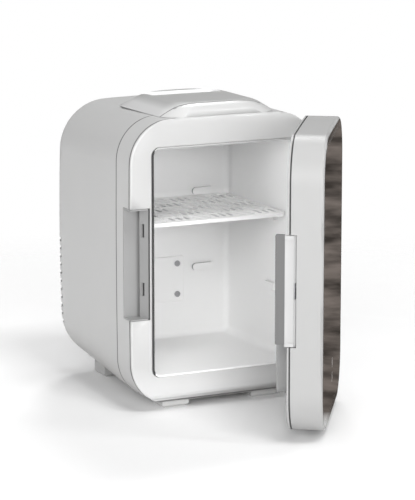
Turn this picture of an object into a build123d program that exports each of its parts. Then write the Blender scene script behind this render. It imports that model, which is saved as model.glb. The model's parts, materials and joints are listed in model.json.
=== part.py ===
"""Compact thermoelectric mini fridge with a mirror door, drawn with its door ajar.

Millimetres, +Z up. The pieces are drawn with the cabinet's front face on Y = 0, its
middle on X = 0 and the floor on Z = 0, the door shut. The door then swings to the
angle that it rests at, and everything moves so that the origin is the middle of the
bottom of the whole part's box.
"""
from build123d import *
import math
import os

# Cabinet outline
cabinet_width = 170.0
cabinet_height = 236.4
cabinet_depth = 168.0
foot_height = 5.6
corner_radius = 36.0
side_bow = 1.0
rear_side_taper = 3.5
rear_floor_rise = 7.0
rear_top_drop = 2.0
rear_corner_gain = 8.0
rear_bow = 3.0
rear_edge_radius = 15.0
shell_wall = 2.5
rear_wall = 4.5
seam_gap = 0.5
fit_gap = 0.3
pin_fit = 0.02
overcut = 1.0

# Front frame, collar and opening
frame_plate = 3.2
frame_edge_radius = 1.6
frame_roll_radius = 9.0
opening_edge_radius = 1.0
collar_rear = 28.6
collar_wall = 3.0
collar_lip = 4.0
stile_width = 21.3
header_height = 24.3
opening_sill = 30.7
opening_radius = 5.5
throat_depth = 46.0
throat_wall = 1.5
throat_gap = 0.8
throat_fit = 0.12
throat_edge_radius = 0.9
throat_front = 0.3

# Carry handle on top
handle_height = 10.0
handle_side_inset = 33.0
handle_slope = 14.0
handle_front = 15.5
handle_rear = 110.0
handle_lead = 6.0
handle_front_corner = 24.0
handle_rear_corner = 18.0
handle_edge_radius = 3.0
crown_rise = 18.0
crown_height = 20.0
crown_setback = 25.0
handle_wall = 2.5
grip_side_margin = 5.0
grip_rear_margin = 16.5
grip_length = 25.0
grip_depth = 14.0
grip_radius = 4.0

# Chamber
machine_depth = 44.0
liner_wall = 1.6
liner_radius = 6.0
liner_step = 0.4
shelf_top = 154.7
shelf_thickness = 3.0
shelf_front = 12.0
shelf_side_gap = 1.1
shelf_rear_gap = 2.0
shelf_corner_radius = 4.0
shelf_play = 0.2
weave_cell = 20.0
shelf_border = 2.5
weave_bars = 3
weave_slot_length = 15.0
weave_slot_width = 3.4
shelf_rib_height = 6.0
shelf_rib_depth = 4.0
shelf_rib_front = 30.0
lower_rib_top = 91.0
lug_width = 20.5
lug_height = 6.3
lug_depth = 2.6
lug_spacing = 78.8
lug_end_flat = 0.1
lower_lug_middle = 91.0

# Cooling stack, centred behind the chamber
stack_z = 82.0
cold_plate_margin = 3.0
cold_plate_corner = 2.0
cold_plate_thickness = 1.2
cold_screw_inset_x = 3.6
cold_screw_inset_z = 3.45
cold_screw_radius = 1.5
cold_screw_head_radius = 2.6
cold_screw_head = 1.0
cold_block_width = 36.0
cold_block_height = 34.0
cold_block_length = 13.4
cold_block_corner = 1.0
screw_tip_gap = 1.0
module_size = 40.0
module_thickness = 3.8
module_corner = 0.5
module_foam_corner = 3.0
sink_width = 84.0
sink_base = 4.0
sink_fins = 15
sink_fin_thickness = 1.4
sink_screw_inset = 11.0
sink_screw_radius = 1.5
sink_screw_head = 1.4
fan_size = 80.0
fan_thickness = 11.0
fan_wall = 2.0
fan_corner = 4.0
fan_hub_radius = 13.0
fan_blade_gap = 1.0
fan_blades = 7
fan_blade_thickness = 1.3
fan_blade_pitch = 38.0
fan_spokes = 4
fan_spoke_width = 4.0
fan_spoke_depth = 2.5
fan_shaft_radius = 1.5
fan_shaft_end_gap = 0.4
fan_seat_floor = 0.6
fan_blade_root = 2.0
fan_screw_inset = 4.25
fan_screw_radius = 1.6
fan_screw_head = 1.2
running_clearance = 0.05

# Rear cover and its sockets
cover_side_inset = 26.0
cover_below_stack = 50.0
cover_above_power = 36.0
cover_thickness = 2.2
cover_radius = 10.0
cover_ledge = 6.0
cover_screw_inset = 5.5
cover_screw_radius = 1.4
cover_screw_head = 1.2
grille_rings = 7
grille_slot = 3.0
grille_pitch = 5.2
grille_spoke = 3.0
power_rise = 88.0
power_spacing = 32.0
inlet_width = 24.0
inlet_height = 16.0
inlet_depth = 16.0
inlet_recess = 11.0
inlet_pin_radius = 1.2
inlet_pin_spacing = 8.6
inlet_wall = 2.0
inlet_corner = 3.0
inlet_pin_setback = 2.0
socket_radius = 9.5
socket_bore_radius = 6.5
socket_depth = 15.0
socket_recess = 11.0
socket_flange = 1.2
switch_width = 15.0
switch_height = 22.0
switch_depth = 13.0
switch_wall = 1.5
switch_flange = 1.2
switch_corner = 1.5
rocker_axle_radius = 1.2
rocker_gap = 0.5
rocker_end_gap = 1.5
rocker_edge = 3.4
rocker_dip = 2.6
rocker_flank = 2.0
rocker_belly = 1.5
rocker_keel = 4.0
rocker_axle_end_gap = 0.3
board_side_inset = 11.0
board_height = 50.0
board_thickness = 1.6
board_standoff = 24.0
board_post_radius = 3.0
transformer_x = -18.0
transformer_width = 24.0
transformer_height = 22.0
transformer_depth = 9.0
transformer_rise = 8.0
capacitor_x = 12.0
capacitor_spacing = 12.0
capacitor_radius = 4.5
capacitor_depth = 10.0
capacitor_drop = 8.0
spreader_x = 33.0
spreader_width = 14.0
spreader_depth = 6.0
spreader_rise = 6.0
spreader_drop = 14.0
terminal_x = -4.0
terminal_width = 32.0
terminal_height = 7.0
terminal_depth = 4.0
terminal_drop = 5.0
module_lead_start = -20.0
module_lead_end = -30.0
module_lead_radius = 1.2
fan_lead_start = 20.0
fan_lead_end = 34.0
fan_lead_radius = 0.8
lead_overlap = 4.0
sensor_side_gap = 12.0
sensor_rise = 6.0
sensor_width = 10.0
sensor_height = 6.0
sensor_depth = 5.0
sensor_corner = 2.0

# Side vents
vent_count = 11
vent_low = 47.6
vent_pitch = 7.2
vent_height = 3.0
vent_length = 11.0
vent_rear_inset = 4.5

# Feet
foot_width = 24.0
foot_length = 22.0
foot_side_inset = 44.0
foot_front_y = 20.0
foot_rear_inset = 30.0
foot_chamfer = 2.0

# Door
door_thickness = 28.0
door_gap = 1.5
door_wall = 3.0
door_edge_radius = 2.4
door_rest_angle = 56.3
door_front_wall = 2.4
inner_panel_thickness = 1.7
glass_thickness = 3.0
glass_rim = 1.8
glass_edge = 0.6
gasket_width = 7.0
gasket_inset = 3.0
gasket_height = 1.1
led_width = 5.0
led_inset = 9.0
led_thickness = 1.2
touch_width = 44.0
touch_height = 26.0
touch_thickness = 1.6
touch_z = 45.0
touch_corner = 2.0
panel_screw_radius = 1.4
panel_screw_head_radius = 2.6
panel_screw_head = 1.2
panel_screw_length = 8.0
panel_screw_inset = 27.0
panel_boss_radius = 4.3
panel_boss_root = 0.5
panel_boss_floor = 2.0

# Hinge
hinge_inset = 5.6
hinge_pin_radius = 1.6
knuckle_radius = 4.6
knuckle_length = 14.0
knuckle_low_inset = 38.4
knuckle_high_inset = 38.0
knuckle_corner_gap = 1.38
knuckle_side_gap = 0.6
knuckle_end_gap = 0.4
hinge_pin_grip = 8.0
hinge_block = 12.0

# Latch
latch_rise = 0.1
latch_length = 89.0
latch_end_gap = 0.6
lever_thickness = 3.6
lever_front = 6.4
lever_rear = 0.6
lever_boss_radius = 2.7
lever_scoop_radius = 9.0
lever_scoop_depth = 1.3
lever_inset = 0.4
lever_lap = 1.0
lever_scoop_end = 3.0
latch_pivot_inset = 5.0
latch_pivot_depth = 6.6
latch_pin_radius = 1.2
latch_pin_grip = 6.0
latch_pocket_front = 8.6
latch_pocket_inner = 9.0
latch_block_width = 13.0
tongue_reach = 8.0
tongue_thickness = 3.4
tongue_inset = 0.7
tongue_low_gap = 1.6
tongue_high_rise = 0.6
tongue_corner = 1.2
hook_thickness = 1.8
hook_near = 4.6
hook_root = 1.0
hook_tip_gap = 1.2
hook_height = 9.2
hook_drop = 20.9
hook_lift = 27.6
recess_depth = 14.1
recess_width = 15.8
recess_wall = 1.2
keeper_rise = 4.4
keeper_reach = 8.0
keeper_thickness = 2.0
keeper_front = 0.4
keeper_root = 1.6
keeper_seat_gap = 0.05
keeper_end_gap = 0.1
keeper_window_height = 11.0
keeper_window_near = 3.9
keeper_window_far = 7.1
spring_radius = 2.5
spring_length = 12.0
spring_wire = 0.8

# Door pocket
pocket_side_gap = 5.2
pocket_sill_gap = 4.6
pocket_height = 80.0
pocket_depth = 11.2
pocket_wall = 1.3
pocket_radius = 8.0
stud_spacing = 70.0
stud_drop = 20.5
stud_neck_radius = 2.0
stud_head_radius = 3.8
stud_head = 1.2
stud_gap = 0.4
pocket_lift = 12.0

# Places worked out from the sizes above
cabinet_low = foot_height
cabinet_high = foot_height + cabinet_height
cabinet_middle = (cabinet_low + cabinet_high) / 2
side_x = cabinet_width / 2
opening_width = cabinet_width - 2 * stile_width
opening_top = cabinet_high - header_height
opening_height = opening_top - opening_sill
handle_base_width = cabinet_width - 2 * handle_side_inset
handle_top_width = handle_base_width - 2 * handle_slope
grip_width = handle_top_width - 2 * grip_side_margin
grip_rear = handle_rear - grip_rear_margin
grip_front = grip_rear - grip_length
chamber_depth = cabinet_depth - machine_depth
cold_plate_width = cold_block_width + 2 * cold_plate_margin
cold_plate_height = cold_block_height + 2 * cold_plate_margin
cold_screw_spacing_x = cold_block_width - 2 * cold_screw_inset_x
cold_screw_spacing_z = cold_block_height - 2 * cold_screw_inset_z
sink_screw_spacing = sink_width - 2 * sink_screw_inset
fan_bore_radius = fan_size / 2 - fan_wall
fan_screw_spacing = fan_size - 2 * fan_screw_inset
cover_width = cabinet_width - 2 * cover_side_inset
power_z = stack_z + power_rise
cover_low = stack_z - cover_below_stack
cover_high = power_z + cover_above_power
inlet_x = -power_spacing
switch_x = power_spacing
board_width = cover_width - 2 * board_side_inset
foot_x = side_x - foot_side_inset
foot_rear_y = cabinet_depth - foot_rear_inset
knuckle_low = cabinet_low + knuckle_low_inset
knuckle_high = cabinet_high - knuckle_high_inset - knuckle_length
pocket_width = opening_width - 2 * pocket_side_gap
pocket_low = opening_sill + pocket_sill_gap
stud_z = pocket_low + pocket_height - stud_drop
shell_front = collar_rear + seam_gap
shelf_bottom = shelf_top - shelf_thickness
liner_rear = chamber_depth + liner_wall
block_rear = chamber_depth + cold_block_length
module_rear = block_rear + module_thickness
sink_rear = module_rear + sink_base
cover_inner = cabinet_depth - cover_thickness
fan_front = cover_inner - fan_thickness
handle_top = cabinet_high + handle_height
cover_middle = (cover_low + cover_high) / 2
door_inner = -door_gap
door_outer = -door_gap - door_thickness
panel_front = door_inner - inner_panel_thickness
shell_inner = panel_front - seam_gap
glass_rear = door_outer + glass_thickness
door_floor = glass_rear + door_front_wall
hinge_x = side_x - hinge_inset
hinge_y = door_inner - hinge_inset
latch_x = -side_x + latch_pivot_inset
latch_y = -latch_pivot_depth
latch_middle = cabinet_middle + latch_rise
latch_low = latch_middle - latch_length / 2
latch_high = latch_middle + latch_length / 2
hook_tip_inset = recess_width - hook_tip_gap
hook_middles = (latch_middle - hook_drop, latch_middle + hook_lift)
recess_x = -side_x + recess_width


def section(y, width, low, high, radius, bow):
    """A rounded rectangle with slightly bowed sides, standing on the plane at y."""
    half = width / 2 - bow
    bottom = low + bow
    top = high - bow
    middle = (low + high) / 2
    sides = [
        ThreePointArc((-half, bottom), (0, low), (half, bottom)),
        ThreePointArc((half, bottom), (half + bow, middle), (half, top)),
        ThreePointArc((half, top), (0, high), (-half, top)),
        ThreePointArc((-half, top), (-half - bow, middle), (-half, bottom)),
    ]
    face = make_face(sides)
    return Plane.XZ.offset(-y) * fillet(face.vertices(), radius)


def front_section(y, inset=0.0):
    """The outline shared by the front frame, the collar and the door."""
    return section(
        y,
        cabinet_width - 2 * inset,
        cabinet_low + inset,
        cabinet_high - inset,
        corner_radius - inset,
        side_bow,
    )


def rear_section(y, inset=0.0):
    """The smaller and rounder outline at the cabinet's back."""
    return section(
        y,
        cabinet_width - 2 * rear_side_taper - 2 * inset,
        cabinet_low + rear_floor_rise + inset,
        cabinet_high - rear_top_drop - inset,
        corner_radius + rear_corner_gain - inset,
        rear_bow,
    )


def prism(inset, y_from, y_to):
    """The front outline drawn in by inset and run from y_from back to y_to."""
    return extrude(front_section(y_from, inset), amount=y_to - y_from, dir=(0, 1, 0))


def tapered(inset):
    """The rear shell's solid between the seam and the back face, drawn in by inset."""
    return loft([front_section(shell_front, inset), rear_section(cabinet_depth, inset)])


def box(x_from, x_to, y_from, y_to, z_from, z_to):
    """A box between pairs of limits."""
    size = Box(x_to - x_from, y_to - y_from, z_to - z_from)
    return Pos((x_from + x_to) / 2, (y_from + y_to) / 2, (z_from + z_to) / 2) * size


def tablet(x, z, width, height, radius, y_from, y_to):
    """A rounded rectangle that faces along Y, centred on x and z."""
    face = Plane.XZ.offset(-y_from) * (Pos(x, z) * RectangleRounded(width, height, radius))
    return extrude(face, amount=y_to - y_from, dir=(0, 1, 0))


def peg(x, z, radius, y_from, y_to):
    """A round peg along Y."""
    face = Plane.XZ.offset(-y_from) * (Pos(x, z) * Circle(radius))
    return extrude(face, amount=y_to - y_from, dir=(0, 1, 0))


def post(x, y, radius, z_from, z_to):
    """A round post along Z."""
    return Pos(x, y, (z_from + z_to) / 2) * Cylinder(radius, z_to - z_from)


def grid(x_spacing, z_spacing, x=0.0, z=0.0):
    """The four corners of a rectangle of places on the X and Z axes."""
    corners = []
    for x_side in (-1, 1):
        for z_side in (-1, 1):
            corners.append((x + x_side * x_spacing / 2, z + z_side * z_spacing / 2))
    return corners


def screw(x, z, shank_radius, head_radius, head, y_head, length, toward=1):
    """A cross-headed screw whose head stands on y_head and whose shank runs toward +Y or -Y."""
    top = y_head - toward * head
    tip = y_head + toward * length
    solid = peg(x, z, head_radius, min(top, y_head), max(top, y_head))
    solid += peg(x, z, shank_radius, min(y_head, tip), max(y_head, tip))
    slot = head * 0.5
    arm = head_radius * 0.7
    near = min(top, top + toward * slot)
    far = max(top, top + toward * slot)
    cross = box(x - arm, x + arm, near, far, z - slot / 2, z + slot / 2)
    cross += box(x - slot / 2, x + slot / 2, near, far, z - arm, z + arm)
    return solid - cross


def group(solids):
    """Separate like pieces kept in one node."""
    return Compound(list(solids))


def envelope():
    """The cabinet's whole outside without the handle: what the feet and handle sit on."""
    front = prism(0, 0, shell_front) - roll_cut()
    return front + tapered(0)


def roll_cut():
    """The waste in front of the big rounding under the cabinet's front."""
    reach = side_x + corner_radius
    roll_top = cabinet_low + frame_roll_radius
    waste = box(-reach, reach, -overcut, frame_roll_radius, cabinet_low - overcut, roll_top)
    roller = Pos(0, frame_roll_radius, cabinet_low + frame_roll_radius) * Rot(0, 90, 0)
    return waste - roller * Cylinder(frame_roll_radius, 3 * reach)


def throat_block(grow, y_from, y_to):
    """The door opening's rounded rectangle, grown by a margin all round."""
    return tablet(
        0,
        opening_sill + opening_height / 2,
        opening_width + 2 * grow,
        opening_height + 2 * grow,
        opening_radius + grow,
        y_from,
        y_to,
    )


def notch_block(grow, y_from):
    """The finger recess in the cabinet's left edge, grown by a margin on its walls."""
    return box(
        -side_x - 2 * overcut,
        recess_x + grow,
        y_from,
        recess_depth + grow,
        latch_low - grow,
        latch_high + latch_end_gap + grow,
    )


def crown_waste():
    """The waste in front of the crown, which leans back from the front face to the handle's top."""
    roof = handle_top - crown_rise
    reach = cabinet_width
    sweep = Pos(0, crown_setback, roof) * Rot(0, 90, 0)
    dome = sweep * extrude(Ellipse(crown_height, crown_setback), amount=2 * reach, both=True)
    return box(-reach, reach, -handle_lead - overcut, crown_setback, roof, handle_top + overcut) - dome


def handle_loaf():
    """The raised handle's whole outside, sloping in all round, with round corners."""
    low = cabinet_high - handle_wall
    rise = handle_top - low
    slope = math.degrees(math.atan2(handle_slope, rise))
    face = Pos(0, (handle_rear - handle_lead) / 2) * Rectangle(handle_base_width, handle_rear + handle_lead)
    face = fillet(face.vertices().sort_by(Axis.Y)[:2], handle_front_corner)
    face = fillet(face.vertices().sort_by(Axis.Y)[-2:], handle_rear_corner)
    loaf = extrude(Plane.XY.offset(low) * face, amount=rise, taper=slope) - crown_waste()
    return fillet(loaf.faces().sort_by(Axis.Z)[-1].edges(), handle_edge_radius)


def handle_hollow():
    """The space inside the handle behind the frame's crown, one wall in from its outside."""
    low = cabinet_high - handle_wall
    rise = handle_top - low
    slope = math.atan2(handle_slope, rise)
    inset = handle_wall / math.cos(slope)
    width = handle_base_width - 2 * inset
    rear = handle_rear - inset
    front = handle_front + fit_gap + handle_wall - handle_slope
    face = Pos(0, (front + rear) / 2) * RectangleRounded(width, rear - front, handle_rear_corner)
    return extrude(Plane.XY.offset(low) * face, amount=rise - handle_wall, taper=math.degrees(slope))


def make_rear_shell():
    """The tapered moulding behind the seam, open at the front and ledged at the back."""
    outer = tapered(0)
    outer = fillet(outer.faces().sort_by(Axis.Y)[-1].edges(), rear_edge_radius)
    inner = tapered(shell_wall)
    reach = cabinet_width + cabinet_height
    inner -= box(-reach, reach, cabinet_depth - rear_wall, cabinet_depth + overcut, -reach, reach)
    inner = fillet(inner.faces().sort_by(Axis.Y)[-1].edges(), rear_edge_radius - shell_wall)
    shell = outer - inner
    shell -= cover_block(fit_gap, cover_inner, cabinet_depth + overcut)
    shell -= cover_block(-cover_ledge, cabinet_depth - rear_wall - overcut, cabinet_depth)
    hole_from = cabinet_depth - rear_wall - overcut
    for x, z in cover_screw_places():
        shell -= peg(x, z, cover_screw_radius + running_clearance, hole_from, cover_inner)
    shell -= grip_block(handle_wall + fit_gap, fit_gap)
    vent_rear = cabinet_depth - vent_rear_inset
    for row in range(vent_count):
        z = vent_low + row * vent_pitch
        low = z - vent_height / 2
        high = z + vent_height / 2
        near = side_x - rear_edge_radius
        far = side_x + overcut
        shell -= box(-far, -near, vent_rear - vent_length, vent_rear, low, high)
        shell -= box(near, far, vent_rear - vent_length, vent_rear, low, high)
    return shell


def cover_block(grow, y_from, y_to):
    """The rear cover's rounded rectangle, grown by a margin all round."""
    return tablet(
        0,
        cover_middle,
        cover_width + 2 * grow,
        cover_high - cover_low + 2 * grow,
        cover_radius + grow,
        y_from,
        y_to,
    )


def cover_screw_places():
    """Six places along the rear cover's long edges."""
    x = cover_width / 2 - cover_screw_inset / 2
    places = []
    for z in (cover_low + cover_radius, cover_middle, cover_high - cover_radius):
        places.append((-x, z))
        places.append((x, z))
    return places


def grip_block(grow, lower):
    """The finger pocket in the handle, grown by a margin and lowered by another."""
    width = grip_width + 2 * grow
    length = grip_rear - grip_front + 2 * grow
    floor = handle_top - grip_depth - lower
    if grow > 0:
        floor -= handle_wall
    face = Plane.XY.offset(floor) * (
        Pos(0, (grip_front + grip_rear) / 2) * RectangleRounded(width, length, grip_radius)
    )
    return extrude(face, amount=handle_top + overcut - floor)


def make_front_collar():
    """The ring between the front frame and the rear shell, with a lip inside the shell."""
    collar_front = frame_plate + seam_gap
    bore = prism(collar_wall, collar_front - overcut, collar_rear + overcut)
    collar = prism(0, collar_front, collar_rear) - bore
    lip_inset = shell_wall + 2 * fit_gap
    lip_front = collar_rear - collar_lip
    lip_rear = shell_front + collar_lip
    lip = prism(lip_inset, lip_front, lip_rear)
    lip -= prism(lip_inset + collar_wall, lip_front - overcut, lip_rear + overcut)
    collar += lip
    collar -= roll_cut()
    return collar - notch_block(recess_wall + fit_gap, -overcut)


def make_front_frame(loaf):
    """The front face with its rolled-under sill, the handle's crown and the hinge knuckles."""
    plate = prism(0, 0, frame_plate)
    plate = fillet(plate.faces().sort_by(Axis.Y)[0].edges(), frame_edge_radius)
    inset = collar_wall + fit_gap
    sill = prism(inset, frame_plate, frame_roll_radius + frame_plate)
    sill -= box(-side_x, side_x, 0, cabinet_depth, opening_sill - throat_wall - throat_fit, cabinet_high)
    frame = plate + sill - roll_cut()
    crown = loaf & box(-side_x, side_x, -handle_lead, handle_front, cabinet_low, handle_top)
    crown -= prism(-fit_gap, frame_plate, handle_front + overcut)
    frame = frame + crown - crown_waste()
    frame -= tablet(
        (throat_fit - throat_gap) / 2,
        opening_sill + opening_height / 2,
        opening_width + 2 * throat_wall + throat_gap + throat_fit,
        opening_height + 2 * throat_wall + 2 * throat_fit,
        opening_radius + throat_wall,
        -overcut,
        cabinet_depth,
    )
    face_edges = frame.edges().filter_by_position(Axis.Y, -pin_fit, pin_fit)
    middle = (0, 0, cabinet_middle)
    rim = face_edges.sort_by(lambda edge: edge.distance_to(middle))[:8]
    frame = fillet(rim, opening_edge_radius)
    frame -= notch_block(recess_wall + fit_gap, -overcut)
    for low in (knuckle_low, knuckle_high):
        high = low + knuckle_length
        frame += post(hinge_x, hinge_y, knuckle_radius, low, high)
        frame += box(hinge_x - knuckle_radius, hinge_x + knuckle_radius, hinge_y, frame_plate, low, high)
        frame -= post(hinge_x, hinge_y, hinge_pin_radius + running_clearance, low - overcut, high + overcut)
    return frame


def make_carry_handle(loaf, body):
    """The raised grip behind the frame's crown, hollow, with a finger pocket in its top."""
    bump = loaf & box(-side_x, side_x, handle_front + fit_gap, cabinet_depth, cabinet_low, handle_top)
    cup = grip_block(handle_wall, 0)
    cup -= box(-side_x, side_x, 0, cabinet_depth, handle_top, handle_top + 2 * overcut)
    handle = bump - body - handle_hollow()
    handle += cup & (bump + body)
    return handle - grip_block(0, 0)


def make_inner_throat():
    """The sleeve that lines the opening, with a shelf rib on each side at both levels."""
    throat = throat_block(throat_wall, throat_front, throat_depth)
    throat -= throat_block(0, -overcut, throat_depth + overcut)
    half = opening_width / 2
    for top in (lower_rib_top, shelf_bottom - shelf_play):
        low = top - shelf_rib_height
        for side in (-1, 1):
            near = side * (half - shelf_rib_depth)
            far = side * (half + throat_wall / 2)
            throat += box(min(near, far), max(near, far), shelf_rib_front, throat_depth, low, top)
    rim = throat.faces().sort_by(Axis.Y)[0].inner_wires()[0]
    return fillet(rim.edges(), throat_edge_radius)


def make_inner_liner():
    """The chamber's tub behind the throat, with shelf lugs and a window for the cold plate."""
    front = throat_depth + fit_gap
    outer = throat_block(liner_step + liner_wall, front, liner_rear)
    outer = fillet(outer.faces().sort_by(Axis.Y)[-1].edges(), liner_radius)
    inner = throat_block(liner_step, front - overcut, chamber_depth)
    inner = fillet(inner.faces().sort_by(Axis.Y)[-1].edges(), liner_radius - liner_wall)
    liner = outer - inner
    upper_lug_middle = shelf_top + shelf_play + lug_height / 2
    for middle in (lower_lug_middle, upper_lug_middle):
        for side in (-1, 1):
            lug = tablet(
                side * lug_spacing / 2,
                middle,
                lug_width,
                lug_height,
                lug_height / 2 - lug_end_flat,
                chamber_depth - lug_depth,
                chamber_depth + liner_wall / 2,
            )
            liner += lug
    window = tablet(
        0,
        stack_z,
        cold_block_width + 2 * fit_gap,
        cold_block_height + 2 * fit_gap,
        cold_block_corner,
        chamber_depth - overcut,
        liner_rear + overcut,
    )
    liner -= window
    return liner


def make_insulation():
    """Foam that fills the space between the tub and the outer shell."""
    start = shell_front + collar_lip + fit_gap
    reach = cabinet_width + cabinet_height
    foam = tapered(shell_wall + fit_gap)
    foam &= box(-reach, reach, start, liner_rear, -reach, reach)
    foam -= throat_block(throat_wall + fit_gap, start - overcut, throat_depth + fit_gap)
    foam -= throat_block(liner_step + liner_wall + fit_gap, throat_depth, liner_rear + overcut)
    return foam - grip_block(handle_wall + fit_gap, 2 * fit_gap)


def make_cold_plate():
    """The plate that shows on the chamber's back wall, with four screw holes."""
    face = chamber_depth - cold_plate_thickness
    plate = tablet(0, stack_z, cold_plate_width, cold_plate_height, cold_plate_corner, face, chamber_depth)
    front = plate.faces().sort_by(Axis.Y)[0]
    plate = chamfer(front.edges(), cold_plate_thickness / 3)
    for x, z in grid(cold_screw_spacing_x, cold_screw_spacing_z, 0, stack_z):
        plate -= peg(x, z, cold_screw_radius + running_clearance, 0, chamber_depth + overcut)
    return plate


def make_cold_plate_screws():
    """Four screws through the cold plate into the cold block."""
    face = chamber_depth - cold_plate_thickness
    screws = []
    for x, z in grid(cold_screw_spacing_x, cold_screw_spacing_z, 0, stack_z):
        screws.append(
            screw(
                x, z, cold_screw_radius, cold_screw_head_radius, cold_screw_head, face, cold_block_length / 2
            )
        )
    return group(screws)


def make_cold_block():
    """The aluminium block that carries cold from the module to the plate."""
    block = tablet(
        0, stack_z, cold_block_width, cold_block_height, cold_block_corner, chamber_depth, block_rear
    )
    hole_to = chamber_depth + cold_block_length / 2 + screw_tip_gap
    for x, z in grid(cold_screw_spacing_x, cold_screw_spacing_z, 0, stack_z):
        block -= peg(x, z, cold_screw_radius + running_clearance, chamber_depth - overcut, hole_to)
    return block


def make_module():
    """The thermoelectric module between the cold block and the heat sink."""
    return tablet(0, stack_z, module_size, module_size, module_corner, block_rear, module_rear)


def make_module_insulation():
    """The foam plate round the cold block that keeps the heat sink's warmth out."""
    plate = tablet(
        0, stack_z, sink_width, sink_width, module_foam_corner, liner_rear + fit_gap, module_rear
    )
    hole = module_size + 2 * fit_gap
    plate -= tablet(0, stack_z, hole, hole, cold_block_corner, liner_rear, module_rear + overcut)
    for x, z in grid(sink_screw_spacing, sink_screw_spacing, 0, stack_z):
        plate -= peg(x, z, sink_screw_radius + fit_gap, liner_rear, module_rear + overcut)
    return plate


def make_heat_sink():
    """A finned aluminium heat sink with its fins standing toward the fan."""
    half = sink_width / 2
    sink = box(-half, half, module_rear, sink_rear, stack_z - half, stack_z + half)
    pitch = (sink_width - sink_fin_thickness) / (sink_fins - 1)
    for index in range(sink_fins):
        x = -half + index * pitch
        sink += box(x, x + sink_fin_thickness, sink_rear, fan_front, stack_z - half, stack_z + half)
    for x, z in grid(sink_screw_spacing, sink_screw_spacing, 0, stack_z):
        well = cold_screw_head_radius + fit_gap
        hole = sink_screw_radius + running_clearance
        sink -= peg(x, z, well, sink_rear, fan_front + overcut)
        sink -= peg(x, z, hole, module_rear - overcut, sink_rear + overcut)
    return sink


def make_heat_sink_screws():
    """Four screws that draw the heat sink against the module."""
    screws = []
    length = sink_base + cold_block_length / 2
    for x, z in grid(sink_screw_spacing, sink_screw_spacing, 0, stack_z):
        screws.append(
            screw(x, z, sink_screw_radius, cold_screw_head_radius, sink_screw_head, sink_rear, length, -1)
        )
    return group(screws)


def make_fan_frame():
    """The square fan housing with its motor seat on four spokes at the back."""
    frame = tablet(0, stack_z, fan_size, fan_size, fan_corner, fan_front, cover_inner)
    frame -= peg(0, stack_z, fan_bore_radius, fan_front - overcut, cover_inner + overcut)
    spoke_front = cover_inner - fan_spoke_depth
    for index in range(fan_spokes):
        arm = box(
            0,
            fan_bore_radius + fan_wall / 2,
            spoke_front,
            cover_inner,
            -fan_spoke_width / 2,
            fan_spoke_width / 2,
        )
        turned = Rot(0, 360 / fan_spokes * (index + 0.5), 0) * arm
        frame += Pos(0, 0, stack_z) * turned
    frame += peg(0, stack_z, fan_hub_radius, spoke_front, cover_inner)
    seat = cover_inner - fan_seat_floor
    frame -= peg(0, stack_z, fan_shaft_radius + running_clearance, spoke_front - overcut, seat)
    for x, z in grid(fan_screw_spacing, fan_screw_spacing, 0, stack_z):
        frame -= peg(x, z, fan_screw_radius + running_clearance, fan_front - overcut, cover_inner + overcut)
    return frame


def make_fan_rotor():
    """The fan's hub with pitched blades and the shaft that runs in the motor seat."""
    rear = cover_inner - fan_spoke_depth - fit_gap
    front = fan_front + fan_blade_gap
    rotor = peg(0, stack_z, fan_hub_radius - fit_gap, front, rear)
    tip = fan_bore_radius - fan_blade_gap
    blade_length = tip - fan_hub_radius + fan_blade_root
    blade_width = (rear - front) / math.cos(math.radians(fan_blade_pitch))
    middle = (front + rear) / 2
    slab = Box(blade_length, blade_width, fan_blade_thickness)
    blade = Pos((fan_hub_radius - fan_blade_root + tip) / 2, 0, 0) * Rot(fan_blade_pitch, 0, 0) * slab
    ring = peg(0, stack_z, tip, front, rear)
    blades = None
    for index in range(fan_blades):
        turned = Pos(0, middle, stack_z) * Rot(0, 360 / fan_blades * index, 0) * blade
        blades = turned if blades is None else blades + turned
    rotor += blades & ring
    shaft_end = cover_inner - fan_seat_floor - fan_shaft_end_gap
    return rotor + peg(0, stack_z, fan_shaft_radius, rear - overcut, shaft_end)


def make_fan_screws():
    """Four screws that hold the fan to the rear cover."""
    screws = []
    for x, z in grid(fan_screw_spacing, fan_screw_spacing, 0, stack_z):
        screws.append(
            screw(
                x, z, fan_screw_radius, cold_screw_head_radius, fan_screw_head, cabinet_depth, fan_thickness, -1
            )
        )
    return group(screws)


def make_rear_cover():
    """The back panel with its round grille, socket cut-outs, board posts and screw holes."""
    cover = cover_block(0, cover_inner, cabinet_depth)
    cut_from = cover_inner - overcut
    cut_to = cabinet_depth + overcut
    for x, z in cover_screw_places():
        cover -= peg(x, z, cover_screw_radius + running_clearance, cut_from, cut_to)
    for x, z in grid(fan_screw_spacing, fan_screw_spacing, 0, stack_z):
        cover -= peg(x, z, fan_screw_radius + running_clearance, cut_from, cut_to)
    slots = None
    for ring in range(grille_rings):
        outer = fan_bore_radius - ring * grille_pitch
        band = peg(0, stack_z, outer, cut_from, cut_to)
        band -= peg(0, stack_z, outer - grille_slot, cut_from - overcut, cut_to + overcut)
        slots = band if slots is None else slots + band
    reach = fan_bore_radius + overcut
    half = grille_spoke / 2
    bars = box(-reach, reach, 0, cut_to + overcut, stack_z - half, stack_z + half)
    bars += box(-half, half, 0, cut_to + overcut, stack_z - reach, stack_z + reach)
    turn = Pos(0, 0, stack_z) * Rot(0, 45, 0) * Pos(0, 0, -stack_z)
    cover -= slots - turn * bars
    cover -= inlet_block(fit_gap, cut_from, cut_to)
    cover -= peg(0, power_z, socket_radius + fit_gap, cut_from, cut_to)
    cover -= switch_block(fit_gap, cut_from, cut_to)
    for x, z in board_places():
        cover += peg(x, z, board_post_radius, cover_inner - board_standoff, cover_inner)
    return cover


def board_places():
    """The power board's four posts."""
    inset = 2 * board_post_radius
    return grid(board_width - inset, board_height - inset, 0, power_z)


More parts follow.
